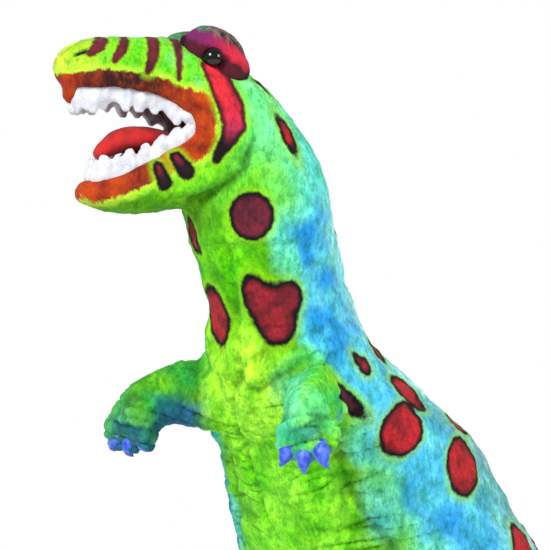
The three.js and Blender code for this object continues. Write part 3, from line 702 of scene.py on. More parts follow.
def ground_colour(where, outward):
    p, z = where.points, where.points[:, 2]
    f, u, _ = where.head.T
    broad, fine = wavy(p, 70, 6), wavy(p, 26, 7)
    turn = np.abs(where.bearing) + 9 * broad + 6 * fine + 9 * smoothstep(640, 560, z)
    green = mixed(GREEN, LIME, 0.5 + 0.7 * broad + 0.5 * fine)
    green = mixed(green, LEAF, 0.2 + 1.0 * wavy(p, 38, 8))
    # painted highlight: a pale yellow-lime patch on the front of the chest
    chest_highlight = smoothstep(85, 25, np.abs(z - 635)) * smoothstep(48, 18, turn)
    green = mixed(green, linear(176, 254, 60), chest_highlight * (1.0 + 0.5 * fine))
    green = mixed(green, linear(152, 248, 64), smoothstep(640, 560, z) * (0.45 + 0.4 * fine))
    blue = mixed(SKY, BLUE, 0.3 + 1.0 * wavy(p, 45, 9) + 0.5 * smoothstep(640, 700, z))
    blue = mixed(blue, CYAN, smoothstep(78, 112, turn) * 0.8 + 0.5 * fine - 0.1)
    # painted highlight: the flanks and back fade to near-white pale cyan
    blue = mixed(blue, PALE_HIGHLIGHT, smoothstep(84, 130, turn) * 0.75)
    blue = mixed(blue, linear(112, 232, 250), smoothstep(0.1, 0.7, wavy(p, 34, 14)) * 0.7)
    mint = mixed(MINT, CYAN, 0.5 + 0.8 * broad)
    colour = mixed(green, mint, smoothstep(40, 56, turn))
    colour = mixed(colour, blue, smoothstep(52, 66, turn))
    middles = np.array([row[:2] for row in TAIL[:6]] + [[499, 17]], float)
    under = np.degrees(np.arctan2(np.abs(p[:, 0]), np.interp(p[:, 1], *middles.T) - z)) + 14 * broad
    tail_colour = mixed(mixed(green, mint, smoothstep(48, 62, under)), blue, smoothstep(58, 74, under))
    colour = mixed(colour, tail_colour, smoothstep(-20, 60, where.tail) * (p[:, 1] > 0))
    for side in (1, -1):
        on_leg_side = (where.leg[side] < 0.02) & (z < 420) & (p[:, 0] * side > 0)
        back, _, _ = row_at(LEG, z)
        away = np.degrees(np.arctan2((p[:, 0] * side - LEG_ASIDE), back - p[:, 1]))
        turned = np.abs(away - 10) + 10 * broad + 6 * fine
        leg = mixed(green, mint, smoothstep(70, 95, turned))
        leg = mixed(leg, blue, smoothstep(88, 112, turned))
        leg = mixed(leg, JADE, smoothstep(110, 60, z) * 0.7)
        colour[on_leg_side] = leg[on_leg_side]
        arm = mixed(JADE, LIME * 0.95, 0.35 + 0.7 * fine)
        arm = mixed(arm, MINT, (0.12 if side > 0 else 0.0) + 0.6 * broad)
        # painted shade: the arms turn teal-blue where they face down, the far right arm more strongly and
        # also along its lower forearm
        below = smoothstep(0.25, -0.45, outward[:, 2] + 0.25 * fine)
        if side < 0:
            far_forearm_shade = smoothstep(626, 604, z + 9 * fine) * smoothstep(58, 44, where.arm[side])
            below = np.maximum(below, far_forearm_shade)
        _, _, across = arm_frame(side)
        inner = smoothstep(0.1, 0.8, -(outward @ across) * side + 0.2 * fine)
        underside_shade = mixed(TEAL, ARM_BLUE, 0.4 + fine)
        arm = mixed(arm, underside_shade, below * (0.9 if side < 0 else 0.55))
        # the near left arm gets cyan on its inner side; the far right arm is darkened all over as painted
        # shade
        if side > 0:
            arm = mixed(arm, CYAN, inner * 0.4)
        else:
            arm = arm * 0.62
        on = smoothstep(-16, 14, where.arm[side])
        on *= np.maximum(smoothstep(58, 44, where.beside_arm[side]), smoothstep(14, 24, where.arm[side]))
        colour = mixed(colour, arm, on)
    head = mixed(MINT, linear(112, 246, 70), smoothstep(-10, 40, f + 10 * fine))
    head = mixed(head, linear(116, 246, 34), smoothstep(40, 95, f + 14 * fine) * (0.75 + 0.4 * fine))
    head = mixed(head, MINT, smoothstep(0.1, 0.7, wavy(p, 24, 10)) * smoothstep(120, 70, f) * (u > 20) * 0.7)
    muzzle = smoothstep(-4, -38, u + 8 * fine) * smoothstep(-40, 0, f)
    head = mixed(head, LEAF, muzzle * (0.35 + 0.4 * broad))
    throat = smoothstep(-20, -60, u) * smoothstep(-60, -20, f)
    head = mixed(head, linear(128, 238, 30), throat * (0.5 + 0.4 * fine))
    # painted shade: darker green under the jaw, near the top of the neck
    head = mixed(head, linear(104, 190, 8), smoothstep(-66, -88, u) * smoothstep(20, 50, f))
    head = mixed(head, YELLOW, smoothstep(138, 176, f + 10 * fine) * (u > 0))
    head = mixed(head, CYAN, smoothstep(-20, -62, f) * 0.8)
    head *= (1 - 0.2 * smoothstep(0, 40, f))[:, None]
    on_head = smoothstep(120, 165, where.neck + 8 * fine)
    return mixed(colour, head, on_head)


# Spots on the torso and neck: bearing, height, half across, half up, tilt, redness.
TORSO_SPOTS = [
    (34, 803, 23, 25, 0, 0.1), (-31, 783, 13, 22, 20, 0.75), (-17, 701, 19, 34, 0, 0.6),
    (53, 616, 29, 9.5, -42, 0.0), (67, 583, 25, 31, -28, 0.85), (88, 542, 27, 34, -20, 0.85),
    (102, 622, 28, 18, -48, 0.8), (116, 588, 20, 13, -50, 0.8), (98, 446, 26, 34, -15, 0.85),
    (85, 655, 14, 8, -40, 0.1), (121, 668, 13, 22, -15, 0.7), (140, 800, 15, 26, 10, 0.7),
    (-70, 742, 20, 26, 10, 0.5), (-80, 657, 18, 24, -10, 0.6), (-82, 588, 24, 30, 15, 0.85),
    (-104, 520, 24, 34, 10, 0.85), (-72, 505, 19, 26, 10, 0.8), (-100, 660, 15, 22, 20, 0.7),
    (-128, 700, 16, 27, -10, 0.7), (-95, 815, 15, 24, 15, 0.6), (-130, 600, 20, 28, 0, 0.85),
    (136, 540, 22, 30, 0, 0.85), (160, 615, 15, 24, 10, 0.7), (-158, 530, 22, 28, 0, 0.85),
    (128, 462, 20, 30, -10, 0.85), (-136, 448, 26, 32, 0, 0.85), (165, 455, 24, 30, 15, 0.85),
    (152, 380, 24, 28, 0, 0.85), (-160, 370, 24, 28, 0, 0.85), (176, 745, 14, 24, 0, 0.6),
]
# Patches that join into one spot on the chest: a point, half across, half up, tilt.
HEART = [
    (27, -340, 724, 12, 22, 8), (54, -318, 721, 13, 16, 0),
    (40, -330, 703, 16, 28, 0), (46, -322, 692, 14.5, 17, 20),
]
HEART_BLEND = 6
NAPE_SPOTS = [  # a point, half across, half up, tilt, redness
    ((56, -325, 884), 8, 25, 17, 0.9), ((30, -330, 935), 5, 13, 15, 0.6), ((98, -246, 650), 9, 12, -30, 0.7),
    ((-74, -290, 850), 10, 22, 0, 0.8), ((40, -268, 895), 9, 16, 20, 0.7),
    ((-20, -250, 880), 11, 20, 0, 0.8),
]
TAIL_SPOTS = [  # degrees from the top, back, half across, half along, tilt
    (62, 100, 26, 30, 0), (-58, 128, 28, 26, 10), (8, 168, 24, 22, 0), (84, 178, 22, 26, -10),
    (-86, 210, 20, 24, 0), (48, 238, 18, 22, 0), (-34, 262, 18, 22, 10), (80, 292, 14, 20, 0),
    (10, 322, 15, 19, 0), (-74, 336, 13, 18, 0), (52, 372, 12, 16, 0),
    (-30, 404, 11, 15, 0), (30, 446, 9, 13, 0),
]
LEG_SPOTS = [  # degrees from ahead, height, half across, half up, tilt
    (70, 352, 22, 28, 10), (38, 280, 20, 24, -15), (98, 268, 22, 30, 0), (64, 205, 15, 22, 10),
    (140, 300, 22, 26, 0), (120, 190, 14, 20, 0), (80, 132, 11, 16, 0),
    (5, 330, 15, 20, 0), (165, 215, 16, 20, 0),
]
# Strokes on the head: the line ahead and up with the half width at each point.
MUZZLE_STRIPES = [
    [(149, 80, 5.5), (156, 71, 6.5), (166, 63, 4.0)],
    [(126, 80, 4.0), (134, 67, 5.4), (142, 56, 3.5)],
    [(98, 80, 6.0), (103, 62, 6.2), (108, 46, 4.0)],
    [(75, 80, 5.5), (77, 64, 4.0), (78, 38, 2.4)],
]
EYE_STRIPE = [(48, 52, 8), (36, 34, 13), (27, 12, 14), (24, -8, 12), (31, -25, 8), (39, -42, 5)]
LIP_SPOTS = [[(97, -50, 6), (91, -66, 8)], [(80, -40, 6), (70, -54, 9)]]


def stroke(where, line, far=12):
    """How far outside a stroke of varying width each point of the head's sides lies, and where along it."""
    line = np.array(line, float)
    gap, along = near_line(where.head[:, :2], line[:, :2])
    width = np.interp(along * (len(line) - 1), np.arange(len(line)), line[:, 2])
    outside = gap - width
    outside[np.abs(where.head[:, 2]) < far] = 99
    outside[where.neck < 100] = 99
    return outside, along


def mark_distances(where, outward):
    """How far each point lies outside the nearest mark, and the colour of that mark's middle."""
    p = where.points
    best, rim = np.full(len(p), 99.0), np.ones(len(p))
    core = np.tile(MAROON, (len(p), 1))

    def take(outside, colour, edge=1.0):
        nearer = outside < best
        best[nearer] = outside[nearer]
        core[nearer] = colour[nearer] if np.ndim(colour) == 2 else colour
        rim[nearer] = edge

    def patch(centre, across, up, tilt):
        i = int(np.argmin(np.sum((p - centre) ** 2, axis=1)))
        out = outward[np.sum((p - p[i]) ** 2, axis=1) < 400].mean(axis=0)
        right = unit(np.cross(UP, out)) if abs(out[2]) < 0.95 else np.array([1.0, 0, 0])
        high = np.cross(unit(out), right)
        t = math.radians(tilt)
        away = p - p[i]
        a, v = away @ right, away @ high
        a, v = a * math.cos(t) + v * math.sin(t), v * math.cos(t) - a * math.sin(t)
        outside = (np.hypot(a / across, v / up) - 1) * min(across, up)
        outside[np.abs(away @ unit(out)) > 45] = 99
        return outside

    def spot(centre, across, up, tilt, redness):
        take(patch(centre, across, up, tilt), MAROON + (RED - MAROON) * redness)

    for degrees, z, across, up, tilt, redness in TORSO_SPOTS:
        spot(on_torso(degrees, z), across, up, tilt, redness)
    joined = np.stack([patch(np.array(h[:3], float), *h[3:]) for h in HEART])
    total = np.sum(np.exp(-np.clip(joined, -60, 60) / HEART_BLEND), axis=0)
    take(-HEART_BLEND * np.log(total), MAROON + (RED - MAROON) * 0.45)
    for centre, across, up, tilt, redness in NAPE_SPOTS:
        spot(np.array(centre, float), across, up, tilt, redness)
    for degrees, y, across, up, tilt in TAIL_SPOTS:
        spot(on_tail(degrees, y), across, up, tilt, 0.85)
    for side in (1, -1):
        for degrees, z, across, up, tilt in LEG_SPOTS:
            spot(on_leg(side, degrees, z), across, up, tilt * side, 0.7)
    for line in MUZZLE_STRIPES:
        outside, _ = stroke(where, line, 0)
        take(outside + smoothstep(16, 4, np.abs(where.head[:, 2])) * 2.0, linear(112, 40, 46), 0.25)
    outside, along = stroke(where, EYE_STRIPE, 25)
    stripe = mixed(linear(224, 46, 60), linear(168, 44, 76), (along - 0.35) / 0.3)
    take(outside, mixed(stripe, NIGHT, (along - 0.66) / 0.16), 0.85)
    for line in LIP_SPOTS:
        outside, along = stroke(where, line)
        take(outside, mixed(linear(170, 40, 62), NIGHT * 1.5, (along - 0.2) / 0.5))
    outside, _ = stroke(where, [(a, b, 1.6) for a, b in NOSTRIL], 10)
    take(outside, NIGHT * 0.2)
    return best, core, rim


def lip_distances(where):
    """How far each point lies outside the painted band round the mouth, and the band's colour; inside the
    mouth, dark painted shade.
    """
    f, u, l = where.head.T
    line = np.vstack([UPPER_LIP + [0, 8, 0], (LOWER_LIP + [0, -9, 0])[::-1]])
    line = np.vstack([line, line[:1]])
    gap, along = near_line(where.head, line)
    width = np.where(u > 0, 12.5, 13.5) + 3 * smoothstep(75, 50, f)
    outside = gap - width
    outside[where.neck < 120] = 99
    outside = np.where((f > 158) & (u > 0), np.minimum(outside, u - 36 - 0.25 * (f - 158)), outside)
    tone = smoothstep(58, 116, f) * smoothstep(180, 164, f) * (u > -8)
    colour = mixed(ORANGE, RUST, 0.4 + 0.9 * wavy(where.points, 14, 11))
    colour = mixed(colour, LIP_DARK, tone * (0.95 + 0.35 * wavy(where.points, 12, 12)))
    low = smoothstep(84, 100, f) * smoothstep(150, 120, f) * (u < -20)
    colour = mixed(colour, LIP_DARK * 1.6, low * 0.6 * smoothstep(-12, 0, outside))
    # painted shade: the plush inside the open mouth is coloured dark maroon
    inner = table_at(SKULL, f, 2) - 15
    mouth = (f > 28) & (f < 176) & (np.abs(l) < inner) & (where.points[:, 2] > 800)
    mouth &= (u < table_at(UPPER_EDGE, f, 1) + 20) & (u > table_at(LOWER_EDGE, f, 1) - 12)
    mouth &= (u > -4) | (f < 148)
    outside[mouth] = -9
    colour[mouth] = linear(70, 16, 22)
    return outside, colour


# ---- materials --------------------------------------------------------------------------------------
class Shader:
    """A material built from nodes, with short calls for the ones used here."""

    def __init__(self, name):
        self.material = bpy.data.materials.new(name)
        self.material.use_nodes = True
        self.tree = self.material.node_tree
        self.surface = self.tree.nodes["Principled BSDF"]

    def node(self, kind, sockets=(), **settings):
        made = self.tree.nodes.new(kind)
        for key, value in settings.items():
            setattr(made, key, value)
        for key, value in dict(sockets).items():
            if isinstance(value, bpy.types.NodeSocket):
                self.tree.links.new(value, made.inputs[key])
            else:
                made.inputs[key].default_value = value
        return made

    def attribute(self, name):
        return self.node("ShaderNodeAttribute", attribute_name=name)

    def noise(self, size, detail=2.0, stretch=(1, 1, 1), roughness=0.5):
        """Noise in the rest shape, with features of that size in millimetres."""
        rest = self.attribute("rest").outputs["Vector"]
        at = self.node("ShaderNodeMapping", {"Vector": rest, "Scale": stretch}).outputs["Vector"]
        sockets = {"Vector": at, "Scale": 1000 / size, "Detail": detail, "Roughness": roughness}
        return self.node("ShaderNodeTexNoise", sockets).outputs["Fac"]

    def math(self, operation, a, b=0.0, clamp=False):
        return self.node("ShaderNodeMath", {0: a, 1: b}, operation=operation, use_clamp=clamp).outputs[0]

    def ramp(self, value, low, high, bottom=0.0, top=1.0):
        sockets = {"Value": value, "From Min": low, "From Max": high, "To Min": bottom, "To Max": top}
        return self.node("ShaderNodeMapRange", sockets, interpolation_type="SMOOTHSTEP").outputs["Result"]

    def mix(self, factor, a, b, blend="MIX"):
        made = self.tree.nodes.new("ShaderNodeMix")
        made.data_type, made.blend_type = "RGBA", blend
        for key, value in ((0, factor), (6, a), (7, b)):
            if isinstance(value, bpy.types.NodeSocket):
                self.tree.links.new(value, made.inputs[key])
            else:
                made.inputs[key].default_value = value if key == 0 else (*value, 1)
        return made.outputs[2]

    def tint(self, colour, by, value, low, high, bottom, top):
        """Multiplies a colour, more or less as the value goes from low to high."""
        return self.mix(self.ramp(value, low, high, bottom, top), colour, by, "MULTIPLY")

    def finish(self, colour, roughness, height, strength, distance,
               sheen=0.0, coat=0.0, metallic=0.0, specular=0.5):
        """Joins the surface up. The bump's distance is in millimetres."""
        self.tree.links.new(colour, self.surface.inputs["Base Color"])
        if isinstance(roughness, bpy.types.NodeSocket):
            self.tree.links.new(roughness, self.surface.inputs["Roughness"])
        else:
            self.surface.inputs["Roughness"].default_value = roughness
        sockets = {"Height": height, "Strength": strength, "Distance": distance / 1000}
        bump = self.node("ShaderNodeBump", sockets)
        self.tree.links.new(bump.outputs["Normal"], self.surface.inputs["Normal"])
        self.surface.inputs["Sheen Weight"].default_value = sheen
        self.surface.inputs["Sheen Roughness"].default_value = 0.45
        self.surface.inputs["Specular IOR Level"].default_value = specular
        self.surface.inputs["Coat Weight"].default_value = coat
        self.surface.inputs["Coat Roughness"].default_value = 0.05
        self.surface.inputs["Metallic"].default_value = metallic
        return self.material


def pile_height(s):
    """Short pile: clumps, lying mostly downwards, with finer fibres over them."""
    clumps = s.noise(5.5, 3, (1, 1, 0.55), 0.6)
    fibres = s.noise(1.7, 2, (1, 1, 0.45), 0.7)
    return s.math("ADD", s.math("MULTIPLY", clumps, 0.62), s.math("MULTIPLY", fibres, 0.38)), clumps, fibres


def plush(name):
    """Airbrushed short-pile plush: its ground, then the lip band, then the marks with their halos."""
    s = Shader(name)
    height, clumps, fibres = pile_height(s)
    ground = s.attribute("ground").outputs["Color"]
    patches = s.noise(24, 3, (1, 1, 1), 0.6)
    blotches = s.noise(13, 3, (1, 1, 0.7))
    colour = s.tint(ground, (0.5, 0.7, 0.5), patches, 0.42, 0.64, 0.0, 0.6)
    colour = s.tint(colour, (1.7, 1.3, 1.2), blotches, 0.48, 0.68, 0.0, 0.9)
    colour = s.tint(colour, (0.5, 0.62, 0.5), clumps, 0.38, 0.52, 0.65, 0.0)
    colour = s.tint(colour, (1.55, 1.25, 1.4), clumps, 0.52, 0.7, 0.0, 0.6)
    waver = s.math("MULTIPLY", s.math("SUBTRACT", s.noise(7, 3), 0.5), 9.0)
    fray = s.math("MULTIPLY", s.math("SUBTRACT", fibres, 0.5), 3.0)
    edge = s.math("ADD", waver, fray)
    lip = s.math("ADD", s.attribute("lip").outputs["Fac"], edge)
    paint = s.attribute("lip_colour").outputs["Color"]
    speckle = s.mix(0.8, s.mix(s.ramp(clumps, 0.42, 0.66), paint, tuple(linear(226, 104, 34))), paint)
    colour = s.mix(s.ramp(lip, 8, 1, 0.0, 0.75), colour, tuple(YELLOW))
    colour = s.mix(s.ramp(lip, 1.5, -2.0), colour, speckle)
    mark = s.math("ADD", s.attribute("mark").outputs["Fac"], s.math("MULTIPLY", edge, 0.5))
    colour = s.mix(s.ramp(mark, 8, 0.5, 0.0, 0.6), colour, tuple(linear(150, 222, 20)))
    core = s.attribute("mark_colour").outputs["Color"]
    core = s.tint(core, (1.9, 1.5, 1.6), clumps, 0.4, 0.68, 0.0, 0.45)
    core = s.mix(s.ramp(patches, 0.42, 0.62, 0.0, 0.55), core, tuple(NIGHT * 1.8))
    rim = s.math("MULTIPLY", s.ramp(mark, -7.0, -2.2), s.attribute("mark_rim").outputs["Fac"])
    dark = s.mix(rim, core, tuple(NIGHT))
    colour = s.mix(s.ramp(mark, 1.8, -1.6), colour, dark)
    colour = s.tint(colour, (0.45, 0.52, 0.45), fibres, 0.3, 0.6, 0.5, 0.0)
    return s.finish(colour, 0.9, height, 1.0, 2.8, sheen=0.05, specular=0.15)


def felt(name, colour, shade, glow, bump=0.5, size=6.0, sheen=0.2):
    """Brushed cloth of one dye, a little worn and creased."""
    s = Shader(name)
    grain = s.noise(1.4, 3, (1, 1, 1), 0.65)
    folds = s.noise(size, 3, (1, 1, 0.7))
    made = s.mix(s.ramp(folds, 0.35, 0.68), tuple(colour), tuple(shade))
    made = s.mix(s.ramp(grain, 0.35, 0.7, 0.0, 0.6), made, tuple(glow))
    height = s.math("ADD", s.math("MULTIPLY", grain, 0.4), folds)
    return s.finish(made, s.ramp(grain, 0.3, 0.7, 0.72, 0.9), height, bump, 1.0, sheen=sheen)


def brow_plush(name):
    """Dark and speckled over the top, a purple to red band across the middle, and maroon below."""
    s = Shader(name)
    height, clumps, fibres = pile_height(s)
    level = s.attribute("brow_level").outputs["Fac"]
    along = s.attribute("brow_along").outputs["Fac"]
    wobble = s.math("MULTIPLY", s.math("SUBTRACT", s.noise(8, 3), 0.5), 0.55)
    level = s.math("ADD", level, wobble)
    band = s.mix(s.ramp(along, -0.5, 0.7), tuple(linear(206, 40, 62)), tuple(linear(112, 34, 92)))
    colour = s.mix(s.ramp(level, -0.22, 0.12), tuple(linear(78, 20, 34)), band)
    top = s.mix(s.ramp(clumps, 0.4, 0.62), tuple(linear(44, 36, 40)), tuple(linear(120, 96, 84)))
    top = s.mix(s.ramp(along, 0.3, 1.0), top, tuple(linear(50, 150, 96)))
    colour = s.mix(s.ramp(level, 0.36, 0.62), colour, top)
    colour = s.tint(colour, (1.6, 1.25, 1.35), clumps, 0.45, 0.7, 0.0, 0.5)
    rim = s.math("ADD", s.attribute("brow_rim").outputs["Fac"], s.math("MULTIPLY", wobble, 3.0))
    colour = s.mix(s.ramp(rim, 4.5, 1.0), colour, tuple(NIGHT))
    return s.finish(colour, 0.88, height, 1.0, 2.6, sheen=0.06, specular=0.2)


def satin(name):
    """Shiny blue cloth, paler in random patches and darker along its weave."""
    s = Shader(name)
    weave = s.noise(1.1, 2, (1, 1, 3.0), 0.6)
    folds = s.noise(7, 2)
    colour = s.mix(s.ramp(folds, 0.35, 0.7), tuple(linear(24, 70, 210)), tuple(linear(86, 128, 236)))
    colour = s.mix(s.ramp(weave, 0.4, 0.7, 0.0, 0.35), colour, tuple(linear(18, 40, 140)))
    height = s.math("ADD", s.math("MULTIPLY", weave, 0.3), folds)
    return s.finish(colour, s.ramp(weave, 0.3, 0.7, 0.34, 0.5), height, 0.45, 0.9, sheen=0.25)


def moulded(name, colour, other, roughness, coat=0.0, metallic=0.0):
    """Moulded plastic or drawn wire, with the faint unevenness of its surface."""
    s = Shader(name)
    spots = s.node("ShaderNodeTexNoise", {"Scale": 900.0, "Detail": 3.0}).outputs["Fac"]
    made = s.mix(s.ramp(spots, 0.35, 0.7), tuple(colour), tuple(other))
    rough = s.ramp(spots, 0.3, 0.7, roughness, roughness + 0.1)
    return s.finish(made, rough, spots, 0.05, 0.2, coat=coat, metallic=metallic)


PLUSH = plush("airbrushed_plush")
BROW_PLUSH = brow_plush("brow_plush")
WHITE_FELT = felt(
    "white_tooth_cloth", linear(216, 218, 226), linear(182, 186, 196), linear(234, 235, 240), 0.8, 9.0, 0.1)
RED_FELT = felt("red_tongue_felt", linear(196, 6, 10), linear(150, 2, 8), linear(206, 22, 20), 0.5, 8.0)
# painted shade: the mouth lining, red cloth like the tongue, is coloured dark maroon for the shade inside
# the mouth
SHADED_LINING = felt("red_mouth_lining_painted_shade", linear(86, 22, 28), linear(58, 12, 20), linear(112, 34, 38), 0.4, 7.0)
SATIN = satin("blue_claw_satin")
BLACK_EYE = moulded("black_eye_plastic", linear(3, 3, 4), linear(6, 6, 8), 0.05)
CAD_FINISH = {
    "steel_wire": moulded(
        "steel_wire_finish", linear(150, 152, 155), linear(120, 122, 126), 0.35, metallic=1.0),
    "white_plastic": moulded("washer_plastic_finish", linear(225, 225, 222), linear(210, 210, 206), 0.4),
    "pellet_cloth": moulded("pellet_cloth_finish", linear(207, 198, 174), linear(186, 176, 150), 0.85),
}


# ---- making the pieces ----------------------------------------------------------------------------
def set_attribute(mesh, name, values, kind="FLOAT"):
    made = mesh.attributes.new(name, kind, "POINT")
    values = np.asarray(values, np.float32)
    if kind == "FLOAT_COLOR":
        values = np.column_stack([values, np.ones(len(values), np.float32)])
    key = {"FLOAT": "value", "FLOAT_VECTOR": "vector", "FLOAT_COLOR": "color"}[kind]
    made.data.foreach_set(key, np.ascontiguousarray(values, np.float32).ravel())


def smooth_shaded(mesh):
    mesh.polygons.foreach_set("use_smooth", np.ones(len(mesh.polygons), bool))


def piece(obj, body, material, nodes=()):
    """Finishes a piece, and makes it ride on its body when one is given."""
    obj.data.materials.clear()
    obj.data.materials.append(material)
    smooth_shaded(obj.data)
    if "rest" not in obj.data.attributes:
        set_attribute(obj.data, "rest", coords(obj) / 1000, "FLOAT_VECTOR")
    if body:
        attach(obj, body)
    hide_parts(*nodes)


def make_fabric():
    """The whole fabric as one mesh, with its points, normals and place."""
    fabric = mesh_object("fabric", first_shape())
    remesh(fabric, VOXEL)
    edges = edges_of(fabric)
    points = soften(coords(fabric), edges, 5)
    points = hollow_mouth(points)
    head = to_head(points)
    mouth = (head[:, 0] > 40) & (points[:, 2] > 800)
    points = soften(points, edges, 3, mouth * 0.8)
    set_coords(fabric, points)
    calm = 1 - 0.75 * smoothstep(120, 150, (points - NECK_BASE) @ NECK_AXIS)
    calm *= smoothstep(4, 30, points[:, 2])
    set_coords(fabric, points + inflate(fabric) * calm[:, None])
    subdivide(fabric)
    points = soften(coords(fabric), edges_of(fabric), 2)
    set_coords(fabric, points)
    outward = normals(fabric)
    where = Place(points)
    lift = sew(where, outward) * smoothstep(3, 16, points[:, 2])
    # painted shade: how deep each seam and fold sinks, used later to darken the ground colour there
    where.crease = np.clip((-1.5 - lift) / 4, 0, 1)
    raised = points + outward * lift[:, None]
    raised[:, 2] = np.maximum(raised[:, 2], 0.0)
    set_coords(fabric, raised)
    return fabric, points, outward, where


def stuffed(*names):
    return [f"{name}_{part}" for name in names for part in ("skin", "stuffing")]


PIECES = {  # region: its bodies and the stretch that bends, its slot, CAD nodes and how full it is
    "torso_fabric": (
        ("torso", "neck", NECK_BASE, NECK_AXIS, NECK_BEND), "blue_plush", stuffed("torso"), 0.8),
    "belly_panel_fabric": (("torso",), "lime_plush", ["belly_panel"], 0.8),
    "left_leg_fabric": (("torso",), "green_plush", [*stuffed("left_leg"), "left_sole"], 0.8),
    "right_leg_fabric": (("torso",), "green_plush", [*stuffed("right_leg"), "right_sole"], 0.8),
    "tail_fabric": (("torso", "tail", TAIL_ROOT, TAIL_AXIS, TAIL_BEND), "blue_plush", stuffed("tail"), 0.8),
    "tail_end_fabric": (
        ("tail", "tail_end", TAIL_MIDDLE, TAIL_END_AXIS, TIP_BEND), "blue_plush", stuffed("tail_end"), 0.8),
    "neck_and_head_fabric": (
        ("neck", "head", NECK_BASE, NECK_AXIS, HEAD_BEND), "green_plush", stuffed("neck", "head"), 0.8),
    "jaw_fabric": (("head", "jaw", None, None, JAW_BEND), "green_plush", stuffed("jaw"), 0.7),
    "left_arm_fabric": (("torso", "arm_left", 1, None, ARM_BEND), "green_plush", stuffed("left_arm"), 0.7),
    "right_arm_fabric": (
        ("torso", "arm_right", -1, None, ARM_BEND), "green_plush", stuffed("right_arm"), 0.7),
    "palate_lining": (("head",), "maroon_felt", ["palate"], None),
    "mouth_floor_lining": (("head", "jaw", None, None, JAW_BEND), "maroon_felt", ["mouth_floor"], None),
}
REGIONS = list(PIECES)


def bend(obj, bodies, origin, axis, stretch):
    """Works out the joint's origin and axis, which nothing then uses, and bakes the piece's placement into
    its mesh; the stretch is not used.
    """
    if bodies == ("head", "jaw"):
        origin = in_head(*HINGE)
        axis = in_head(HINGE[0] - math.sin(JAW_RAY), HINGE[1] + math.cos(JAW_RAY)) - origin
    elif bodies[1].startswith("arm"):
        origin, axis, _ = arm_frame(origin)
    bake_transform(obj)


def split(fabric, points, outward, where):
    """Cuts the fabric into its pieces. Neighbours share the points and normals along their border."""
    f, u, _ = where.head.T
    facing = np.where(u > table_at(LOWER_EDGE, f, 1) + 12, -1.0, 1.0)
    where.inwards = outward[:, 2] * facing > -0.35
    number = where.region()
    count = len(fabric.data.polygons)
    loops = np.zeros(count * 4, np.int64)
    fabric.data.loops.foreach_get("vertex_index", loops)
    quads = loops.reshape(-1, 4)
    votes = np.sort(number[quads], axis=1)
    owner = votes[:, 1]
    mark, mark_colour, mark_rim = mark_distances(where, outward)
    lip, lip_colour = lip_distances(where)
    # painted shade: the ground colour is darkened by up to 38% in seams and folds
    ground = ground_colour(where, outward) * (1 - 0.38 * where.crease)[:, None]
    final, shading = coords(fabric), normals(fabric)
    for k, name in enumerate(REGIONS):
        chosen = quads[owner == k]
        used = np.unique(chosen)
        index = np.full(len(points), -1)
        index[used] = np.arange(len(used))
        mesh = bpy.data.meshes.new(name)
        mesh.from_pydata((final[used] / 1000).tolist(), [], index[chosen].tolist())
        obj = bpy.data.objects.new(name, mesh)
        bpy.context.scene.collection.objects.link(obj)
        set_attribute(mesh, "rest", points[used] / 1000, "FLOAT_VECTOR")
        bodies, slot, nodes, fill = PIECES[name]
        lining = name in ("palate_lining", "mouth_floor_lining")
        if not lining:
            set_attribute(mesh, "ground", ground[used], "FLOAT_COLOR")
            set_attribute(mesh, "mark", mark[used])
            set_attribute(mesh, "mark_rim", mark_rim[used])
            set_attribute(mesh, "mark_colour", mark_colour[used], "FLOAT_COLOR")
            set_attribute(mesh, "lip", lip[used])
            set_attribute(mesh, "lip_colour", lip_colour[used], "FLOAT_COLOR")
        piece(obj, bodies[0] if len(bodies) == 1 else None, SHADED_LINING if lining else PLUSH, nodes)
        mesh.normals_split_custom_set_from_vertices(shading[used].tolist())
        if len(bodies) > 1:
            bend(obj, bodies[:2], *bodies[2:])
    bpy.data.objects.remove(fabric)


def make_brow(side):
    """A puffed hood over the eye, longer towards the front, dented where the eye sits."""
    tilt = math.radians(28)
    along = HEAD_AHEAD * math.cos(tilt) + UP * math.sin(tilt)
    high = UP * math.cos(tilt) - HEAD_AHEAD * math.sin(tilt)
    centre = in_head(35, 66, side * 35)
    solids = [ellipsoid(centre, [along * 35, HEAD_ACROSS * 20, high * 26])]
    solids.append(ellipsoid(in_head(20, 51, side * 40), [along * 21, HEAD_ACROSS * 18, high * 19]))
    solids.append(ellipsoid(in_head(56, 73, side * 33), [along * 17, HEAD_ACROSS * 14, high * 11]))
    name = SIDE_NAME[side]
    brow = mesh_object(f"{name}_brow_hood", solids)
    remesh(brow, 2.6)
    edges = edges_of(brow)
    points = soften(coords(brow), edges, 8)
    eye = in_head(42, 61, side * 50)
    away = points - eye
    out = HEAD_ACROSS * side
    gap = np.linalg.norm(away - np.outer(away @ out, out), axis=1)
    dent = dip(gap, 12) * ((away @ out) > -16)
    points -= np.outer(6.0 * dent, out)
    set_coords(brow, points)
    outward = normals(brow)
    points += outward * (0.6 * wavy(points, 12, 20) + 0.35 * wavy(points, 4, 21))[:, None]
    set_coords(brow, points)
    offset = points - centre
    inner_side = smoothstep(-0.1, 0.5, outward @ -out)
    set_attribute(brow.data, "brow_level", (offset @ high) / 25 + inner_side)
    set_attribute(brow.data, "brow_along", (offset @ along) / 38)
    head = to_head(points)
    rim = np.hypot(offset @ along / 36, offset @ high / 26)
    set_attribute(brow.data, "brow_rim", np.clip((1.06 - rim) * 40, -10, 20) + 20 * (head[:, 1] > 84))
    piece(brow, "head", BROW_PLUSH, [f"{name}_brow"])


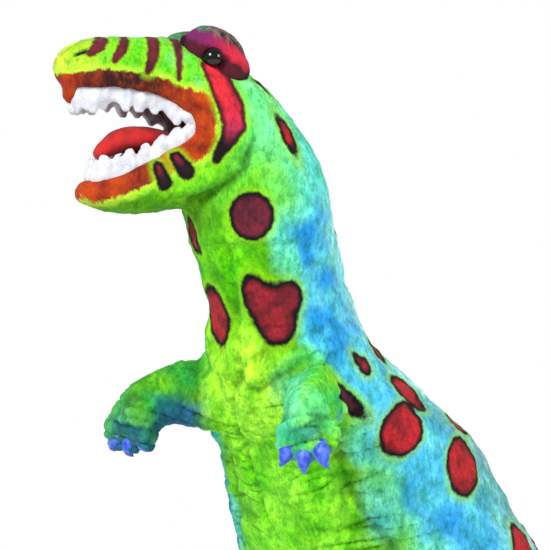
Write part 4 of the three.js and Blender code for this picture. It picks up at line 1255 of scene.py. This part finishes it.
def make_eye(side):
    """A glossy domed safety eye with its collar."""
    name = SIDE_NAME[side]
    out = HEAD_ACROSS * side
    centre = in_head(42, 61, side * 50)
    solids = [ellipsoid(centre, [HEAD_AHEAD * 10.5, UP * 10.5, out * 10.5], 48)]
    solids.append(ellipsoid(centre - out * 3, [HEAD_AHEAD * 12, UP * 12, out * 2.4], 48))
    eye = mesh_object(f"{name}_eye_dome", solids)
    subdivide(eye)
    piece(eye, "head", BLACK_EYE, [f"{name}_eye"])


def make_teeth(name, body, line, direction, count, tall, nodes):
    """A padded strip cut into points, standing just inside a lip."""
    line = curve_through(line, 121)
    at = np.linspace(3, 117, count)
    solids = []
    for rise in (-1, 6, 11):
        root = in_head(line[:, 0], line[:, 1] + direction * rise, line[:, 2])
        solids.append(tube(root, 4.8, 100))
    for i, place in enumerate(at):
        k = int(round(place))
        ahead, up, aside = line[k]
        run = unit(in_head(*line[min(k + 2, 120)]) - in_head(*line[max(k - 2, 0)]))
        inward = unit(np.cross(run, UP))
        size = 0.66 + 0.34 * math.sin(math.pi * (i + 0.5) / count) ** 0.6 + 0.09 * math.sin(i * 2.7)
        height = tall * size
        base = in_head(ahead, up, aside)
        drift = run * (1.6 * math.sin(i * 1.9)) + inward * (1.0 * math.sin(i * 3.3))
        middle = base + UP * direction * height * 0.45 + drift * 0.4
        stations = [base, middle, base + UP * direction * height * 0.8 + drift]
        halves = [[10.2, 5.4], [9.8, 5.6], [4.6, 3.2]]
        path, width = curve_through(stations, 9), curve_through(halves, 9)
        solids.append(loft(path, width, run, sides=20, caps=(4, 3.2)))
    teeth = mesh_object(name, solids)
    remesh(teeth, 1.7)
    points = soften(coords(teeth), edges_of(teeth), 4)
    set_coords(teeth, points)
    points += normals(teeth) * (2.0 * wavy(points * [1, 1, 0.5], 9, 30) + 0.4 * wavy(points, 4, 31))[:, None]
    set_coords(teeth, points)
    joined = body == "jaw"
    piece(teeth, None if joined else body, WHITE_FELT, nodes)
    if joined:
        bend(teeth, ("head", "jaw"), None, None, JAW_BEND)


TONGUE = [  # ahead, up, half width, half height, in the head
    [58, -36, 17, 11], [80, -25, 20, 13], [102, -21, 21, 14],
    [122, -22, 20, 13], [137, -29, 17, 10], [146, -37, 12, 7],
]


def make_tongue():
    """A flat padded tongue with a groove down its middle and its tip turned down."""
    fine = curve_through(TONGUE, 50)
    solids = [loft(in_head(fine[:, 0], fine[:, 1]), fine[:, 2:], HEAD_ACROSS, sides=32, caps=(4, 5))]
    tongue = mesh_object("padded_tongue", solids)
    remesh(tongue, 2.0)
    points = soften(coords(tongue), edges_of(tongue), 3)
    head = to_head(points)
    outward = normals(tongue)
    points -= outward * (2.2 * dip(head[:, 2], 2.6) * (outward[:, 2] > 0.2))[:, None]
    points += outward * (0.7 * wavy(points, 14, 33))[:, None]
    set_coords(tongue, points)
    piece(tongue, None, RED_FELT, ["tongue"])
    bend(tongue, ("head", "jaw"), None, None, JAW_BEND)


def make_claw(name, body, path, radii, node):
    claw = mesh_object(name, [tube(path, radii, 24)])
    remesh(claw, 1.5)
    points = soften(coords(claw), edges_of(claw), 3)
    set_coords(claw, points)
    points += normals(claw) * (0.5 * wavy(points, 7, 40))[:, None]
    points[:, 2] = np.maximum(points[:, 2], 0.4)
    set_coords(claw, points)
    piece(claw, body, SATIN, [node])


HAND_CLAW = {  # along and up the arm, and how far the row spreads, from a claw's root to its tip
    1: ((73, -45, 0.95), (79, -52, 1.0), (81, -60, 1.15), (78, -68, 1.4)),
    -1: ((71, -43, 0.95), (76, -50, 1.0), (77, -57, 1.1), (73, -62, 1.3)),
}


def make_claws():
    for side in (1, -1):
        name = SIDE_NAME[side]
        for i in range(3):
            path = [finger(side, i, along, up, spread) for along, up, spread in HAND_CLAW[side]]
            radii = [8.6, 9, 5.6, 1.6] if side > 0 else [7.5, 8, 5.4, 1.8]
            number = i + 1
            cloth, node = f"{name}_hand_claw_cloth_{number}", f"{name}_hand_claw_{number}"
            make_claw(cloth, f"arm_{name}", path, radii, node)
        for i, spread in enumerate((-35, 0, 35), 1):
            back = -178 + abs(spread) * 0.4
            x = side * LEG_ASIDE + spread
            lean = spread * 0.1
            path = [(x, back + 4, 24), (x + lean * 0.5, back - 16, 23)]
            path += [(x + lean, back - 32, 15), (x + lean * 1.4, back - 41, 6)]
            cloth, node = f"{name}_foot_claw_cloth_{i}", f"{name}_foot_claw_{i}"
            make_claw(cloth, "torso", path, [12.5, 12, 8.5, 3], node)


def finish_cad():
    """The wires, washers and pellet bags that stay as the CAD made them."""
    for name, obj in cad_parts.items():
        if obj.hide_render:
            continue
        kind = "pellet_cloth"
        if name.endswith("wire"):
            kind = "steel_wire"
        elif name.endswith("washer"):
            kind = "white_plastic"
        for slot in obj.material_slots:
            slot.material = CAD_FINISH[kind]


fabric, rest_points, rest_outward, placed = make_fabric()
split(fabric, rest_points, rest_outward, placed)
for side in (1, -1):
    make_brow(side)
    make_eye(side)
upper_gum = lip_line(UPPER_EDGE, SKULL, 183, 150, 10) + [0, 3, 0]
lower_gum = lip_line(LOWER_EDGE, JAW, 164, 132, 9) + [0, -3, 0]
make_teeth("upper_tooth_strip", "head", upper_gum, -1, 19, TOOTH_HEIGHT, ["upper_teeth"])
make_teeth("lower_tooth_strip", "jaw", lower_gum, 1, 17, TOOTH_HEIGHT, ["lower_teeth"])
make_tongue()
make_claws()
finish_cad()


# ---- floor, light and camera ------------------------------------------------------------------------
SKY_LIGHT = 0.42  # how much the white surround lights the object
FLOOR_RADIUS = 2200


def make_stage():
    turns = np.linspace(0, 2 * math.pi, 96, endpoint=False)
    disc = np.column_stack([FLOOR_RADIUS * np.cos(turns), FLOOR_RADIUS * np.sin(turns), np.full(96, -0.5)])
    floor = mesh_object("studio_floor", [(disc, [tuple(range(96))])])
    paper = Shader("pale_floor_paper")
    grain = paper.node("ShaderNodeTexNoise", {"Scale": 40.0}).outputs["Fac"]
    colour = paper.mix(grain, (0.82, 0.82, 0.82), (0.86, 0.86, 0.86))
    floor.data.materials.append(paper.finish(colour, 0.9, grain, 0.02, 0.5))
    world = bpy.data.worlds.new("studio")
    bpy.context.scene.world = world
    world.use_nodes = True
    tree = world.node_tree
    tree.nodes["Background"].inputs["Color"].default_value = (1, 1, 1, 1)
    seen = tree.nodes.new("ShaderNodeMapRange")
    tree.links.new(tree.nodes.new("ShaderNodeLightPath").outputs["Is Camera Ray"], seen.inputs["Value"])
    seen.inputs["To Min"].default_value = SKY_LIGHT
    tree.links.new(seen.outputs["Result"], tree.nodes["Background"].inputs["Strength"])


def area_light(name, place, target, size, watts):
    data = bpy.data.lights.new(name, "AREA")
    data.size, data.energy = size, watts
    light = bpy.data.objects.new(name, data)
    light.location = place
    light.rotation_mode = "QUATERNION"
    light.rotation_quaternion = (Vector(target) - Vector(place)).to_track_quat("-Z", "Y")
    bpy.context.scene.collection.objects.link(light)


def make_camera():
    azimuth, distance = math.radians(38), 3.0
    target = Vector((-0.0971, -0.1479, 0.7425))
    data = bpy.data.cameras.new("camera")
    data.sensor_width, data.lens = 36, 178.5
    camera = bpy.data.objects.new("camera", data)
    camera.location = target + distance * Vector((math.sin(azimuth), -math.cos(azimuth), 0))
    camera.rotation_mode = "QUATERNION"
    camera.rotation_quaternion = (target - camera.location).to_track_quat("-Z", "Y")
    bpy.context.scene.collection.objects.link(camera)
    bpy.context.scene.camera = camera
    bpy.context.scene.view_settings.view_transform = "Standard"


make_stage()
area_light("key", (0.1, -2.9, 2.3), (0, -0.2, 0.6), 1.0, 84)
area_light("side_fill", (2.7, 0.4, 1.6), (0, -0.1, 0.6), 1.2, 44)
area_light("back_rim", (-1.9, 1.9, 2.0), (0, 0, 0.6), 1.3, 36)
make_camera()
